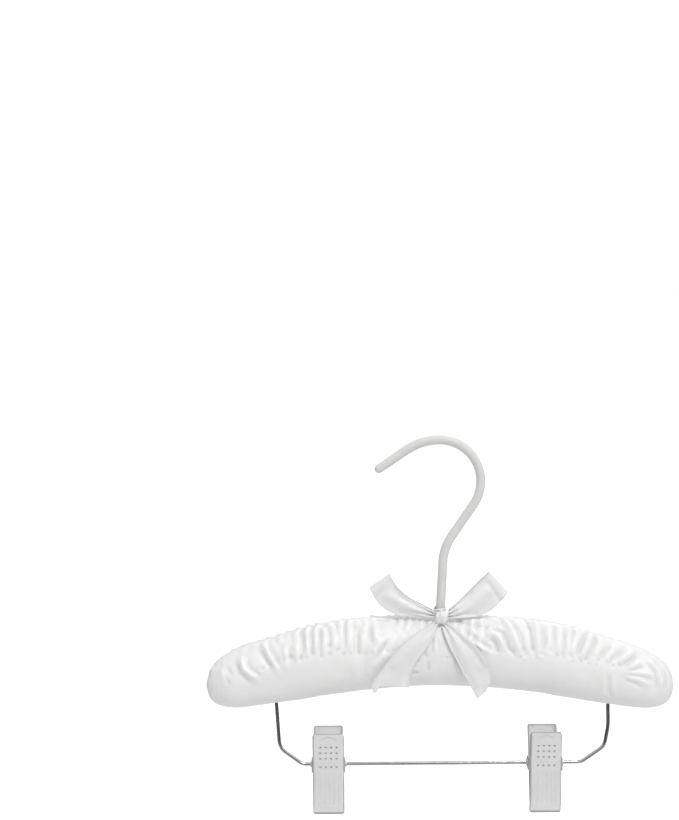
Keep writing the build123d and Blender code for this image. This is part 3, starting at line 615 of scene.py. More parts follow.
def relax_cloth(p0, n, x, v, seed, side, rounds=220):
    """Position-based cloth on the grid: satin cut longer than the body along x, stitched at the ridge
    and at a row half way down, bedded on soft wadding. Folds start where seed puts them, and the
    extra length, the stiffness and the stitches shape them."""
    cols, rows = v.shape
    sign = -1 if side == "left" else 1
    vs = stitch_row(x)[:, None]
    xg = np.repeat(x[:, None], rows, 1)
    a = np.abs(v)
    zone = smoothstep(0.6, 4.0, a) * (1 - smoothstep(vs - 0.5, vs + 2.6, a))
    patch = value_noise(np.stack([sign * xg, v * 0.25, 0 * v], -1), (9, 9, 9), 61 if side == "left" else 62)
    extra = (0.17 + 0.19 * patch) * zone * (1 - 0.55 * smoothstep(112, 130, xg)) * smoothstep(1.5, 6, xg)
    extra += 0.012
    bed = p0 + n * seed[..., None]
    p = bed.copy()
    # stitches hold the cloth down to the wadding
    hold = np.zeros_like(v)
    sunk = np.zeros_like(v)
    r = np.random.RandomState(7 if side == "left" else 8)
    for s in (1, -1):
        k = 22.0 if s > 0 else 6.0
        while k < 116:
            i = int(np.argmin(np.abs(x - k)))
            j = int(np.argmin(np.abs(v[i] - s * (vs[i, 0] + r.uniform(-2.0, 1.6)))))
            dist = np.hypot(xg - x[i], v - v[i, j])
            spot = np.exp(-((dist / 0.75) ** 2))
            hold = np.maximum(hold, spot)
            sunk -= r.uniform(0.45, 0.8) * np.exp(-((dist / 1.3) ** 2))
            k += r.uniform(3.0, 6.2)
    ridge = np.exp(-((a / 1.3) ** 2))
    hold = np.maximum(hold, 0.8 * ridge)
    sunk -= 0.18 * ridge * smoothstep(2, 6, xg)
    ends = np.maximum(1 - smoothstep(0.4, 2.4, xg), smoothstep(BODY_END - 2.5, BODY_END - 0.8, xg))
    hold = np.maximum(hold, ends)
    under = smoothstep(vs + 4.0, vs + 12.0, a)
    goal = bed + n * sunk[..., None]

    lx = np.linalg.norm(p0[1:] - p0[:-1], axis=2) * (1 + (extra[1:] + extra[:-1]) / 2)
    lv = np.linalg.norm(np.roll(p0, -1, 1) - p0, axis=2) * 1.004

    def pull(q, b, rest, stiff):
        e = b - q
        m = np.maximum(np.linalg.norm(e, axis=2), 1e-9)
        c = (0.5 * stiff * (m - rest) / m)[..., None] * e
        return q + c, b - c

    wrap = (np.arange(rows) + 1) % rows
    for k in range(rounds):
        for o in (0, 1):
            top = cols - 1 - (cols - 1 - o) % 2
            q, b = pull(p[o:top:2], p[o + 1 : top + 1 : 2], lx[o:top:2], 0.9)
            p[o:top:2], p[o + 1 : top + 1 : 2] = q, b
        for o in (0, 1):
            i0, i1 = np.arange(o, rows, 2), wrap[np.arange(o, rows, 2)]
            q, b = pull(p[:, i0], p[:, i1], lv[:, i0], 0.9)
            p[:, i0], p[:, i1] = q, b
        # stiffness: fourth difference of how far the cloth has moved, along and round
        for _ in range(3):
            f = p - p0
            g = np.concatenate([f[:1], f[:1], f, f[-1:], f[-1:]])
            d4 = g[:-4] - 4 * g[1:-3] + 6 * g[2:-2] - 4 * g[3:-1] + g[4:]
            e4 = np.roll(f, 2, 1) - 4 * np.roll(f, 1, 1) + 6 * f - 4 * np.roll(f, -1, 1) + np.roll(f, -2, 1)
            p = p - 0.045 * d4 - 0.05 * e4
        # the wadding: soft outwards, firmer inwards
        h = ((p - bed) * n).sum(2)
        p = p - n * (h * np.where(h > 0, 0.012, 0.05) * (1 + 5 * under))[..., None]
        side_slip = (p - bed) - n * h[..., None]
        p = p - 0.03 * side_slip
        p = p + (goal - p) * (hold * 0.5)[..., None]
    h = np.clip(((p - p0) * n).sum(2), -2.2, 3.4)
    slip = (p - p0) - n * ((p - p0) * n).sum(2)[..., None]
    m = np.linalg.norm(slip, axis=2, keepdims=True)
    slip = slip * np.minimum(1.0, 1.2 / np.maximum(m, 1e-9))
    return p0 + n * h[..., None] + slip


def satin_half(side):
    sign = -1 if side == "left" else 1
    xf = np.linspace(-0.9, BODY_END, 6000)
    rate = np.maximum.reduce([np.abs(np.gradient(outline(xf, c), xf)) for c in (1, 2, 3)])
    run = np.concatenate([[0], np.cumsum(np.hypot(1, (rate[1:] + rate[:-1]) / 2) * np.diff(xf))])
    cols = int(run[-1] / 0.68)
    x = np.interp(np.linspace(0, run[-1], cols), run, xf)
    rows = 208
    frac = np.arange(rows) / rows
    p = np.zeros((cols, rows, 3))
    v = np.zeros((cols, rows))
    for i, xi in enumerate(x):
        th, s = arc_table(xi)
        half = s[-1]
        front = frac <= 0.5
        d = np.where(front, frac, 1 - frac) * 2 * half
        ang = np.interp(d, s, th)
        top, low, dep = outline(xi, 1), outline(xi, 2), outline(xi, 3)
        p[i, :, 0] = xi
        p[i, :, 1] = np.where(front, -1, 1) * dep * np.sin(ang)
        p[i, :, 2] = (top + low) / 2 + (top - low) / 2 * np.cos(ang)
        v[i] = np.where(front, d, -d)
    xg = np.repeat(x[:, None], rows, 1)
    n = grid_normals(p, wrap=True)
    if (n[cols // 2, rows // 4, 1]) > 0:
        n = -n
    d = np.zeros_like(v)
    folds = fold_list(side)
    sharp = [f for f in folds if abs(f[0]) > 0.34]
    for h, w, pts in folds:
        dist, t = line_distance(xg, v, pts)
        span = math.dist(pts[0], pts[-1])
        ease = min(0.3, 2.2 / max(span, 1.0))
        env = (0.25 + 0.75 * smoothstep(0, ease, t)) * (0.2 + 0.8 * (1 - smoothstep(1 - max(ease, 0.35), 1, t)))
        if h > 0:
            d += 1.6 * h * env * (0.65 * np.exp(-((dist / (0.85 * w)) ** 2)) + 0.35 * np.exp(-np.abs(dist) / (0.7 * w)))
        else:
            d += 1.6 * h * env * (0.45 * np.exp(-((dist / (0.8 * w)) ** 2)) + 0.55 * np.exp(-np.abs(dist) / (0.6 * w)))
    where = np.stack([sign * xg, p[..., 1], p[..., 2]], -1)
    upper = 1 - smoothstep(16, 34, np.abs(v))
    d += 0.34 * value_noise(where, (13, 11, 11), 3) + 0.16 * value_noise(where, (5.5, 5, 7), 4) * (0.35 + 0.65 * upper)
    # the ribbon's tails press the satin flat under them
    for tail in (TAIL_LEFT, TAIL_RIGHT):
        mid = [((l[0] + r[0]) / 2, (l[2] + r[2]) / 2) for l, r in tail]
        dist, t = line_distance(sign * xg, np.where(v > 0, where[..., 2], 1e3), mid)
        under = 1 - smoothstep(6, 12, dist)
        d = np.where(v > 0, d * (1 - under) + np.minimum(d, 0.0) * 0.5 * under, d)
    # drawn tight at the middle, where each half tucks in under the other
    d *= smoothstep(0.2, 2.6, xg)
    d *= 1 - smoothstep(BODY_END - 3, BODY_END, xg) * 0.8
    flat = p.copy()
    p = relax_cloth(p, n, x, v, d * 1.0, side)
    d = 0.06 * value_noise(where, (2.2, 2.5, 4), 5) * upper
    for h, w, pts in sharp:
        dist, t = line_distance(xg, v, pts)
        env = smoothstep(0, 0.2, t) * (1 - smoothstep(0.7, 1, t))
        d += (0.52 if h < 0 else 0.36) * h * env * np.exp(-((dist / (0.45 * w)) ** 2)) * smoothstep(0.2, 2.6, xg)
    d -= 0.6 * (1 - smoothstep(-0.9, 0.0, xg))
    p = p + n * d[..., None]
    # drawn smooth over the top edge, where the cloth lies tight on the wadding
    calm = np.where(v >= 0, smoothstep(0, 2.4, v), smoothstep(0.5, 6.0, -v))
    p = flat + (p - flat) * (1 - 0.8 * (1 - calm) * smoothstep(0.5, 3, xg))[..., None]
    # how far each point stands above or below the cloth round it: a painted highlight makes the satin a little paler on
    # the ridges, and painted shade darkens it in the creases
    rise = ((p - flat) * n).sum(-1)
    near = rise.copy()
    for _ in range(12):
        near[1:-1] = 0.5 * near[1:-1] + 0.25 * (near[:-2] + near[2:])
        near = 0.5 * near + 0.25 * (np.roll(near, 1, 1) + np.roll(near, -1, 1))
    painted_fold_shading = np.clip((rise - near) / 0.40, -1, 1) * smoothstep(0.5, 4, xg)
    # room for the hook's shank where the two halves meet
    r = np.hypot(p[..., 0], p[..., 1])
    push = (p[..., 2] > -124) & (r < 3.5)
    k = np.where(push, 3.5 / np.maximum(r, 0.3), 1.0)
    p[..., 2] -= np.where(push, (3.5 - r) * 1.6, 0)
    p[..., 0] = np.where(push & (xg > 0.2), np.maximum(p[..., 0] * k, p[..., 0]), p[..., 0])
    p[..., 1] = p[..., 1] * k
    rings = [p[i] for i in range(cols)]
    # rounded tip
    c = p[-1].mean(0)
    for q in (0.78, 0.52, 0.26):
        ring = c + (p[-1] - c) * q
        ring[:, 0] += 0.55 * math.sqrt(1 - q * q)
        rings.append(ring)
    tip = c + np.array([0.55, 0, 0])
    # turned-in end at the middle, hollowed round the hook's shank and nut
    c = np.array([-0.9, 0.0, (p[0, :, 2].max() + p[0, :, 2].min()) / 2])
    inner = []
    for q in (0.97, 0.93, 0.86, 0.7, 0.5, 0.25):
        ring = c + (p[0] - c) * q
        ring[:, 0] = -0.9 + 9.0 * max(0.0, 1 - (q / 0.94) ** 2) ** 0.6
        inner.append(ring)
    heart = np.array([8.1, 0, c[2]])
    painted_fold_shading = np.concatenate([np.zeros(len(inner) * rows), painted_fold_shading.ravel(), np.zeros(3 * rows + 2)])
    rings = inner[::-1] + rings
    verts = np.concatenate([np.array(rings).reshape(-1, 3), [heart, tip]])
    count = len(rings)
    faces = []
    for i in range(count - 1):
        for j in range(rows):
            a, b = i * rows + j, i * rows + (j + 1) % rows
            faces.append((a, b, b + rows, a + rows))
    h, t = count * rows, count * rows + 1
    for j in range(rows):
        a, b = j, (j + 1) % rows
        faces.append((b, a, h))
        faces.append((a + (count - 1) * rows, b + (count - 1) * rows, t))
    verts[:, 0] *= sign
    if sign > 0:
        faces = [f[::-1] for f in faces]
    o = add_mesh(f"satin_cover_{side}", verts, faces, SATIN)
    # the gather attribute carries the painted shade in the creases and the painted highlight on the ridges
    o.data.attributes.new("gather", "FLOAT", "POINT").data.foreach_set("value", painted_fold_shading.astype(np.float32))
    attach(o, "hanger")
    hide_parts(f"cover_{side}", f"padding_{side}")
    return o


# ---------------------------------------------------------------- ribbon
# The bow's bands as pairs of points on their two edges, in millimetres.
LOOP_LEFT = [
    ((-3.4, -9.8, -108.6), (-4.0, -9.9, -111.8)),
    ((-8.0, -10.4, -105.8), (-9.4, -10.6, -111.6)),
    ((-14.6, -10.2, -102.8), (-17.4, -10.4, -111.0)),
    ((-21.6, -8.8, -99.6), (-26.4, -9.4, -110.6)),
    ((-27.4, -7.4, -95.6), (-34.6, -8.2, -107.4)),
    ((-30.6, -6.6, -89.8), (-41.6, -7.2, -101.2)),
    ((-32.6, -5.6, -85.2), (-45.4, -5.6, -94.6)),
    ((-33.0, -3.4, -84.2), (-46.0, -3.2, -93.2)),
    ((-32.2, -1.0, -86.2), (-44.4, -0.6, -95.2)),
    ((-27.6, 0.4, -93.4), (-37.0, 0.8, -104.2)),
    ((-20.6, -0.4, -99.6), (-25.0, -0.6, -108.6)),
    ((-12.0, -2.6, -104.0), (-14.0, -3.2, -109.6)),
    ((-5.2, -5.0, -107.4), (-6.2, -5.4, -110.6)),
]
LOOP_RIGHT = [
    ((3.2, -9.8, -109.0), (4.0, -9.9, -112.0)),
    ((7.0, -10.6, -106.2), (9.4, -10.8, -112.0)),
    ((12.4, -10.0, -101.2), (16.6, -10.4, -111.8)),
    ((17.4, -9.0, -96.6), (24.4, -9.8, -110.8)),
    ((22.6, -7.8, -91.8), (31.6, -8.6, -107.8)),
    ((27.6, -6.8, -87.2), (38.4, -7.2, -102.4)),
    ((31.2, -5.4, -83.6), (43.4, -5.4, -96.8)),
    ((31.7, -3.2, -83.0), (44.0, -3.2, -96.0)),
    ((30.8, -1.0, -84.6), (42.6, -1.0, -97.6)),
    ((26.6, 0.4, -88.6), (37.0, 0.2, -102.8)),
    ((19.8, -0.2, -95.0), (27.0, -0.8, -108.4)),
    ((12.2, -2.6, -101.8), (15.4, -3.4, -109.6)),
    ((5.2, -5.0, -107.2), (6.4, -5.4, -110.6)),
]
TAIL_LEFT = [
    ((-2.0, -13.0, -115.4), (-4.6, -12.4, -113.6)),
    ((-3.6, -16.2, -119.6), (-9.6, -15.6, -116.6)),
    ((-6.8, -18.3, -124.8), (-17.0, -17.9, -120.6)),
    ((-11.6, -19.4, -131.6), (-25.0, -19.2, -127.0)),
    ((-17.0, -19.7, -139.2), (-33.0, -19.8, -135.4)),
    ((-20.6, -19.8, -147.0), (-40.0, -19.9, -144.8)),
    ((-21.2, -19.7, -154.2), (-46.6, -19.8, -153.4)),
]
TAIL_RIGHT = [
    ((0.6, -13.4, -116.8), (3.6, -13.0, -114.8)),
    ((1.8, -16.8, -121.8), (8.6, -16.0, -117.8)),
    ((4.4, -18.8, -128.4), (16.0, -18.4, -123.6)),
    ((8.4, -19.6, -136.0), (23.4, -19.4, -130.8)),
    ((12.4, -19.8, -143.8), (28.2, -19.8, -138.4)),
    ((17.2, -19.8, -152.4), (30.8, -19.8, -148.8)),
    ((22.2, -19.7, -161.4), (27.4, -19.7, -157.0)),
]


def smooth_rail(points, count):
    """Points along a smooth curve through the given ones, evenly spaced."""
    p = np.asarray(points, float)
    s = np.concatenate([[0], np.cumsum(np.linalg.norm(np.diff(p, axis=0), axis=1))])
    m = np.gradient(p, s, axis=0)
    u = np.linspace(0, s[-1], count)
    i = np.clip(np.searchsorted(s, u, side="right") - 1, 0, len(s) - 2)
    h = (s[i + 1] - s[i])[:, None]
    t = ((u - s[i]) / h[:, 0])[:, None]
    return (
        (2 * t**3 - 3 * t**2 + 1) * p[i]
        + (t**3 - 2 * t**2 + t) * h * m[i]
        + (3 * t**2 - 2 * t**3) * p[i + 1]
        + (t**3 - t**2) * h * m[i + 1]
    )


def band_grid(rails, count, across=49):
    """A grid over the band between two rails, and its length and across shares."""
    left = smooth_rail([r[0] for r in rails], count)
    right = smooth_rail([r[1] for r in rails], count)
    e = np.linspace(-1, 1, across)
    w = 0.5 + 0.5 * np.sign(e) * (1 - (1 - np.abs(e)) ** 1.35)
    p = left[:, None, :] + (right - left)[:, None, :] * w[None, :, None]
    return p, np.linspace(0, 1, count)[:, None] + 0 * w[None, :], w[None, :] + 0 * np.zeros((count, 1))


def thick_sheet(name, p, across, thick, mat, length):
    """A closed thin sheet over the grid, with a woven edge a little thicker than the middle."""
    n = grid_normals(p)
    w = np.minimum(across, 1 - across) * 16.0
    t = (thick + 0.16 * np.exp(-(((w - 0.45) / 0.35) ** 2)))[..., None] / 2
    rows, cols = p.shape[:2]
    verts = np.concatenate([(p + n * t).reshape(-1, 3), (p - n * t).reshape(-1, 3)])
    u = np.repeat(np.linspace(0, length, rows)[:, None], cols, 1)
    uv = np.stack([u, across], -1).reshape(-1, 2)
    off = rows * cols
    faces = []
    at = lambda i, j: i * cols + j
    for i in range(rows - 1):
        for j in range(cols - 1):
            a, b, c, d = at(i, j), at(i, j + 1), at(i + 1, j + 1), at(i + 1, j)
            faces.append((a, d, c, b))
            faces.append((off + a, off + b, off + c, off + d))
    rim = [at(0, j) for j in range(cols)] + [at(i, cols - 1) for i in range(1, rows)]
    rim += [at(rows - 1, j) for j in range(cols - 2, -1, -1)] + [at(i, 0) for i in range(rows - 2, 0, -1)]
    for a, b in zip(rim, rim[1:] + rim[:1]):
        faces.append((a, b, off + b, off + a))
    o = add_mesh(name, verts, faces, mat, np.concatenate([uv, uv]))
    return o


def gather(p, u, w, height, waves, reach, phase=0.0):
    """The band bunched into small folds at its start, dying out by reach."""
    n = grid_normals(p)
    env = np.exp(-((u / reach) ** 2))
    d = height * env * np.sin(2 * math.pi * waves * w + phase + 1.7 * u)
    return p + n * d[..., None]


def push(p, line, width, amount, rows=None):
    """Moves the grid along y near a line drawn in (x, z)."""
    dist, t = line_distance(p[..., 0], p[..., 2], line)
    env = smoothstep(0, 0.15, t) * 0.7 + 0.3
    d = amount * np.exp(-((dist / width) ** 2)) * env
    if rows is not None:
        d = d * rows
    q = p.copy()
    q[..., 1] += d
    return q


def bow_loop(side):
    rails = LOOP_LEFT if side == "left" else LOOP_RIGHT
    p, u, w = band_grid(rails, 150)
    p = gather(p, u, w, 1.0, 2.6, 0.13, 0.4 if side == "left" else 2.0)
    p = gather(p, 1 - u, w, 0.8, 2.4, 0.12)
    near = 1 - smoothstep(0.40, 0.47, u)
    if side == "left":
        p = push(p, [(-33.2, -86.6), (-42.6, -100.0)], 1.5, 1.1, near)
        p = push(p, [(-33.6, -85.4), (-45.4, -96.6)], 1.8, -0.7, near)
        p = push(p, [(-10, -107.6), (-24, -103.6), (-33.4, -98.4)], 3.4, -1.3, near)
        p = push(p, [(-12, -110.6), (-26, -108.8)], 1.6, 0.7, near)
        p = push(p, [(-14, -104.6), (-26, -99.4)], 1.5, 0.5, near)
    else:
        p = push(p, [(30.0, -87.6), (38.6, -101.6)], 1.5, 1.1, near)
        p = push(p, [(31.6, -85.2), (42.0, -98.2)], 1.9, -0.7, near)
        p = push(p, [(8, -108.6), (20, -103.8), (30.4, -95.6)], 3.6, -1.3, near)
        p = push(p, [(11, -110.8), (22, -109.4)], 1.7, 0.8, near)
        p = push(p, [(10, -105), (20, -96.6)], 1.5, 0.5, near)
    where = p.copy()
    p[..., 1] += 0.35 * value_noise(where, (9, 9, 9), 11 if side == "left" else 12) * smoothstep(0.05, 0.2, u)
    o = thick_sheet(f"ribbon_loop_{side}", p, w, 0.3, RIBBON, 0.098)
    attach(o, "hanger")
    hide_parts(f"bow_loop_{side}")
    return o


def bow_tail(side):
    rails = TAIL_LEFT if side == "left" else TAIL_RIGHT
    p, u, w = band_grid(rails, 110)
    p = gather(p, u, w, 0.75, 2.2, 0.3, 0.9)
    if side == "left":
        p = push(p, [(-6, -119), (-16, -129), (-26, -141), (-33, -150)], 4.2, -0.8)
        p = push(p, [(-11.5, -122.5), (-21, -130.5), (-31, -140.5)], 2.0, -0.5)
        p = push(p, [(-8, -121.8), (-14.5, -130), (-21, -140), (-24.5, -152)], 1.6, 0.5)
        p = push(p, [(-36, -139), (-42, -148), (-44, -154)], 2.2, -0.5)
    else:
        p = push(p, [(3, -118), (8.6, -127), (15.6, -138), (22.4, -152)], 2.6, -0.7)
        p = push(p, [(8.6, -120), (17.6, -128.6), (24.6, -139)], 2.0, 0.6)
        p = push(p, [(12, -121), (22, -130), (28, -140)], 1.6, -0.6)
        p = push(p, [(2.4, -122), (8, -133), (14.4, -146)], 1.2, 0.5)
    # the last of the band hangs clear and its cut corner droops
    last = smoothstep(0.82, 1.0, u)
    if side == "left":
        flap = np.exp(-(((w - 0.86) / 0.075) ** 2))
        p[..., 2] -= last * 4.2 * flap
        p[..., 1] -= last * (0.5 + 0.5 * np.sin(2 * math.pi * 1.3 * w + 0.6))
    else:
        p[..., 1] -= last * (0.4 + 0.4 * np.sin(2 * math.pi * 1.1 * w))
    # never inside the padded body
    clear = front_y(p[..., 0], p[..., 2]) + 0.75
    deep = -p[..., 1]
    over = p[..., 2] > (outline(p[..., 0], 1) + outline(p[..., 0], 2)) / 2
    p[..., 1] = np.where(over, -np.maximum(deep, clear), -np.maximum(deep, np.minimum(clear, 19.6)))
    where = p.copy()
    p[..., 1] -= 0.25 * (1 + value_noise(where, (7, 7, 9), 21 if side == "left" else 22)) * smoothstep(0.1, 0.3, u)
    o = thick_sheet(f"ribbon_tail_{side}", p, w, 0.3, RIBBON, 0.052)
    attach(o, "hanger")
    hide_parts(f"bow_tail_{side}")
    return o


def bow_knot():
    """The ribbon drawn over itself at the front, creased into a few turns."""
    n, m = 72, 96
    th = np.linspace(0.02, math.pi - 0.02, n)[:, None]
    ph = np.linspace(0, 2 * math.pi, m, endpoint=False)[None, :]
    d = np.stack([np.sin(th) * np.cos(ph), np.sin(th) * np.sin(ph), np.cos(th) + 0 * ph], -1)
    fold = 0.075 * np.sin(7.0 * d[..., 0] + 2.4 * d[..., 2] + 0.6) * (0.4 + 0.6 * np.abs(d[..., 1]))
    fold += 0.05 * np.sin(13.0 * d[..., 0] - 3.0 * d[..., 2])
    fold -= 0.16 * np.exp(-(((d[..., 2] + 0.86) / 0.28) ** 2)) * np.exp(-((d[..., 0] / 0.5) ** 2))
    pinch = 1 - 0.12 * np.exp(-((d[..., 2] / 0.25) ** 2)) * np.abs(d[..., 0])
    r = (1 + fold)[..., None] * d * np.array([4.6, 3.6, 4.9]) * pinch[..., None]
    p = r + np.array([0.2, -11.6, -111.6])
    p[..., 0] += 0.12 * (p[..., 2] + 111.6)
    verts = np.concatenate([p.reshape(-1, 3), [p[0].mean(0) + [0, 0, 0.02], p[-1].mean(0) - [0, 0, 0.02]]])
    faces = []
    for i in range(n - 1):
        for j in range(m):
            a, b = i * m + j, i * m + (j + 1) % m
            faces.append((a, a + m, b + m, b))
    for j in range(m):
        a, b = j, (j + 1) % m
        faces.append((a, b, n * m))
        faces.append(((n - 1) * m + b, (n - 1) * m + a, n * m + 1))
    uv = np.stack([np.repeat(th, m, 1) * 0.004, 0.3 + 0.4 * (0.5 + 0.5 * d[..., 0])], -1).reshape(-1, 2)
    o = add_mesh("ribbon_knot", verts, faces, RIBBON, np.concatenate([uv, [[0, 0.5], [0, 0.5]]]))
    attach(o, "hanger")
    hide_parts("bow_knot")
    return o


def neck_wrap():
    """Two turns of the ribbon round the foot of the hook's shank."""
    m, k = 120, 26
    ph = np.linspace(0, 2 * math.pi, m, endpoint=False)[:, None]
    w = np.linspace(0, 1, k)[None, :]
    z = -106.6 - 6.4 * w + 0.9 * np.sin(ph + 0.7) * (1 - w) - 0.5 * np.cos(2 * ph)
    r = 3.95 + 0.42 * np.sin(2 * math.pi * 2.5 * w + 0.8 * np.sin(ph)) + 0.55 * w
    out = np.stack([r * np.cos(ph), r * np.sin(ph) - 0.2, z + 0 * ph], -1)
    ins = np.stack([3.45 * np.cos(ph) + 0 * w, 3.45 * np.sin(ph) - 0.0 + 0 * w, z + 0 * ph], -1)
    ins = np.where(w[..., None] < 0, ins, ins)
    verts = np.concatenate([out.reshape(-1, 3), ins.reshape(-1, 3)])
    off, faces = m * k, []
    for i in range(m):
        q = (i + 1) % m
        for j in range(k - 1):
            a, b, c, d = i * k + j, q * k + j, q * k + j + 1, i * k + j + 1
            faces.append((a, d, c, b))
            faces.append((off + a, off + b, off + c, off + d))
        faces.append((i * k, q * k, off + q * k, off + i * k))
        e = k - 1
        faces.append((q * k + e, i * k + e, off + i * k + e, off + q * k + e))
    uv = np.stack([np.repeat(ph, k, 1) * 0.0038, np.repeat(w, m, 0)], -1).reshape(-1, 2)
    o = add_mesh("ribbon_neck_wrap", verts, faces, RIBBON, np.concatenate([uv, uv]))
    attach(o, "hanger")
    return o


covers = [satin_half(s) for s in ("left", "right")]
loops = [bow_loop(s) for s in ("left", "right")]
tails = [bow_tail(s) for s in ("left", "right")]
knot, wrap = bow_knot(), neck_wrap()


# ---------------------------------------------------------------- clip springs
def clip_spring(side):
    """A bent steel strip round the pivot, whose two legs press the handles apart."""
    jaw_lo, jaw_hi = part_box(f"clip_{side}_spring")
    slide = next(j for j in frame["joints"] if j["name"] == f"clip_{side}_slide")
    pivot = next(j for j in frame["joints"] if j["name"] == f"clip_{side}_open")["pos_m"]
    ax = np.array(slide["axis"], float)
    up = np.array([-ax[2], 0, ax[0]])
    c = np.array(pivot) / MM
    r = 2.25
    leg = [(-6.35, 14.9), (-6.95, 14.6), (-7.28, 13.9), (-7.25, 12.6), (-6.1, 9.9), (-4.5, 6.1), (-2.95, 2.4), (-2.35, 0.9)]
    arc = [(r * math.cos(math.radians(a)), r * math.sin(math.radians(a))) for a in range(170, 371, 10)]
    line = leg + arc + [(-a, b) for a, b in leg[::-1]]
    q = smooth_rail([(a, b, 0) for a, b in line], 150)[:, :2]
    across = np.array([-4.5, -4.38, -4.1, -2.2, 0, 2.2, 4.1, 4.38, 4.5])
    thin = np.array([0.7, 0.92, 1, 1, 1, 1, 1, 0.92, 0.7]) * 0.45
    tan = np.gradient(q, axis=0)
    tan /= np.linalg.norm(tan, axis=1, keepdims=True)
    nor = np.stack([-tan[:, 1], tan[:, 0]], 1)
    sheets = []
    for s in (0.5, -0.5):
        pts = q[:, None, :] + s * nor[:, None, :] * thin[None, :, None]
        world = c + ax * across[None, :, None] + np.array([0, 1.0, 0]) * pts[..., :1] + up * pts[..., 1:]
        sheets.append(world)
    rows, cols = sheets[0].shape[:2]
    verts = np.concatenate([s.reshape(-1, 3) for s in sheets])
    off, faces = rows * cols, []
    at = lambda i, j: i * cols + j
    for i in range(rows - 1):
        for j in range(cols - 1):
            a, b, cc, d = at(i, j), at(i, j + 1), at(i + 1, j + 1), at(i + 1, j)
            faces.append((a, b, cc, d))
            faces.append((off + a, off + d, off + cc, off + b))
    rim = [at(0, j) for j in range(cols)] + [at(i, cols - 1) for i in range(1, rows)]
    rim += [at(rows - 1, j) for j in range(cols - 2, -1, -1)] + [at(i, 0) for i in range(rows - 2, 0, -1)]
    for a, b in zip(rim, rim[1:] + rim[:1]):
        faces.append((b, a, off + a, off + b))
    o = add_mesh(f"spring_strip_{side}", verts, faces, SPRING)
    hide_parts(f"clip_{side}_spring")
    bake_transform(o)
    return o


for side in ("left", "right"):
    clip_spring(side)

# ---------------------------------------------------------------- floor and light
me = bpy.data.meshes.new("floor")
ring = [(14 * math.cos(a), 14 * math.sin(a), -0.55) for a in np.linspace(0, 2 * math.pi, 96, endpoint=False)]
me.from_pydata(ring, [], [tuple(range(96))])
floor = bpy.data.objects.new("floor", me)
bpy.context.scene.collection.objects.link(floor)
t = Tree("pale_floor")
t.set(Roughness=0.9, Specular_IOR_Level=0.1, Emission_Strength=0.3)
t.to("Base Color", t.ramp(t.noise(t.map((1.5, 1.5, 1.5)), detail=2.0), [(0.3, 0.92), (0.7, 0.94)]))
t.bsdf.inputs["Emission Color"].default_value = (1, 1, 1, 1)
# seen in gloss the floor is pale near the stand and dark further out; on matt surfaces it is an even soft fill
away = t.n.new("ShaderNodeVectorMath")
away.operation = "LENGTH"
t.l.new(t.coord.outputs["Object"], away.inputs[0])
glint, fill = t.n.new("ShaderNodeEmission"), t.n.new("ShaderNodeEmission")
t.l.new(t.ramp(t.math("DIVIDE", away.outputs["Value"], 4.0), [(0.18, 0.85), (0.36, 0.06)]), glint.inputs["Color"])
fill.inputs["Color"].default_value = (0.73, 0.73, 0.73, 1)
lp, pick1, pick2 = (t.n.new(k) for k in ("ShaderNodeLightPath", "ShaderNodeMixShader", "ShaderNodeMixShader"))
t.l.new(lp.outputs["Is Glossy Ray"], pick1.inputs[0])
t.l.new(fill.outputs[0], pick1.inputs[1])
t.l.new(glint.outputs[0], pick1.inputs[2])
t.l.new(lp.outputs["Is Camera Ray"], pick2.inputs[0])
t.l.new(pick1.outputs[0], pick2.inputs[1])
t.l.new(t.bsdf.outputs[0], pick2.inputs[2])
t.l.new(pick2.outputs[0], t.n["Material Output"].inputs["Surface"])
me.materials.append(t.mat)

world = bpy.data.worlds.new("studio")
bpy.context.scene.world = world
world.use_nodes = True
wn, wl = world.node_tree.nodes, world.node_tree.links
out = wn["World Output"]
wn.remove(wn["Background"])
coord, split = wn.new("ShaderNodeTexCoord"), wn.new("ShaderNodeSeparateXYZ")
wl.new(coord.outputs["Generated"], split.inputs[0])


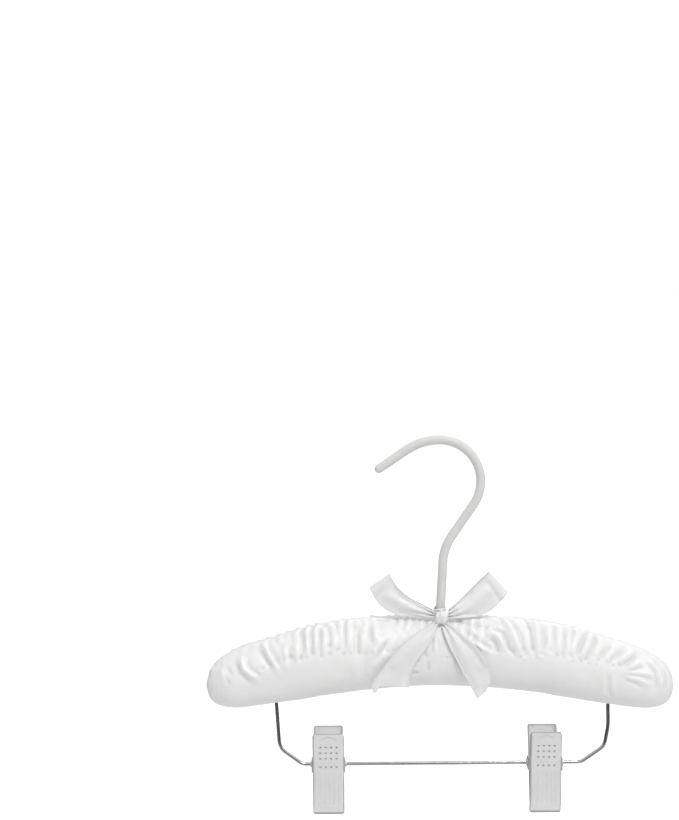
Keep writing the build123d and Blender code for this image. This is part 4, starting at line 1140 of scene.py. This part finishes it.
def sky(stops, strength):
    m = wn.new("ShaderNodeMapRange")
    m.inputs["From Min"].default_value, m.inputs["From Max"].default_value = -1, 1
    wl.new(split.outputs["Z"], m.inputs["Value"])
    r = wn.new("ShaderNodeValToRGB")
    e = r.color_ramp.elements
    while len(e) < len(stops):
        e.new(0.5)
    for el, (pos, c) in zip(e, stops):
        el.position, el.color = pos, (c, c, c, 1)
    wl.new(m.outputs["Result"], r.inputs["Fac"])
    b = wn.new("ShaderNodeBackground")
    b.inputs["Strength"].default_value = strength
    wl.new(r.outputs["Color"], b.inputs["Color"])
    return b.outputs[0]


soft = sky([(0.0, 0.64), (0.5, 0.67), (0.62, 0.78), (0.8, 0.96), (1.0, 1.0)], 0.73)
gloss = sky([(0.0, 0.5), (0.45, 0.05), (0.54, 0.06), (0.62, 0.75), (0.8, 1.0), (1.0, 1.0)], 1.0)
white = wn.new("ShaderNodeBackground")
white.inputs["Color"].default_value = (1, 1, 1, 1)
white.inputs["Strength"].default_value = 1.0
path = wn.new("ShaderNodeLightPath")
mix1, mix2 = wn.new("ShaderNodeMixShader"), wn.new("ShaderNodeMixShader")
wl.new(path.outputs["Is Glossy Ray"], mix1.inputs[0])
wl.new(soft, mix1.inputs[1])
wl.new(gloss, mix1.inputs[2])
wl.new(path.outputs["Is Camera Ray"], mix2.inputs[0])
wl.new(mix1.outputs[0], mix2.inputs[1])
wl.new(white.outputs[0], mix2.inputs[2])
wl.new(mix2.outputs[0], out.inputs["Surface"])


def area(name, place, target, size, power, spread=math.pi):
    data = bpy.data.lights.new(name, "AREA")
    data.shape = "RECTANGLE"
    data.size, data.size_y = size
    data.energy = power
    data.spread = spread
    o = bpy.data.objects.new(name, data)
    o.location = place
    o.rotation_euler = (Vector(target) - Vector(place)).to_track_quat("-Z", "Y").to_euler()
    bpy.context.scene.collection.objects.link(o)
    return o


sun = bpy.data.lights.new("key", "SUN")
sun.energy, sun.angle = 1.08, math.radians(13)
key = bpy.data.objects.new("key", sun)
key.rotation_euler = Vector((-0.26, 0.60, -0.74)).to_track_quat("-Z", "Y").to_euler()
bpy.context.scene.collection.objects.link(key)
area("fill", (0.9, -1.0, 0.0), (0, 0, -0.14), (0.8, 0.8), 0.8)
area("rim", (0.3, 1.0, 0.7), (0, 0, -0.16), (0.9, 0.6), 2.6)

scene = bpy.context.scene
scene.view_settings.view_transform = "Standard"
scene.view_settings.look = "None"
scene.view_settings.exposure = 0
scene.view_settings.gamma = 1
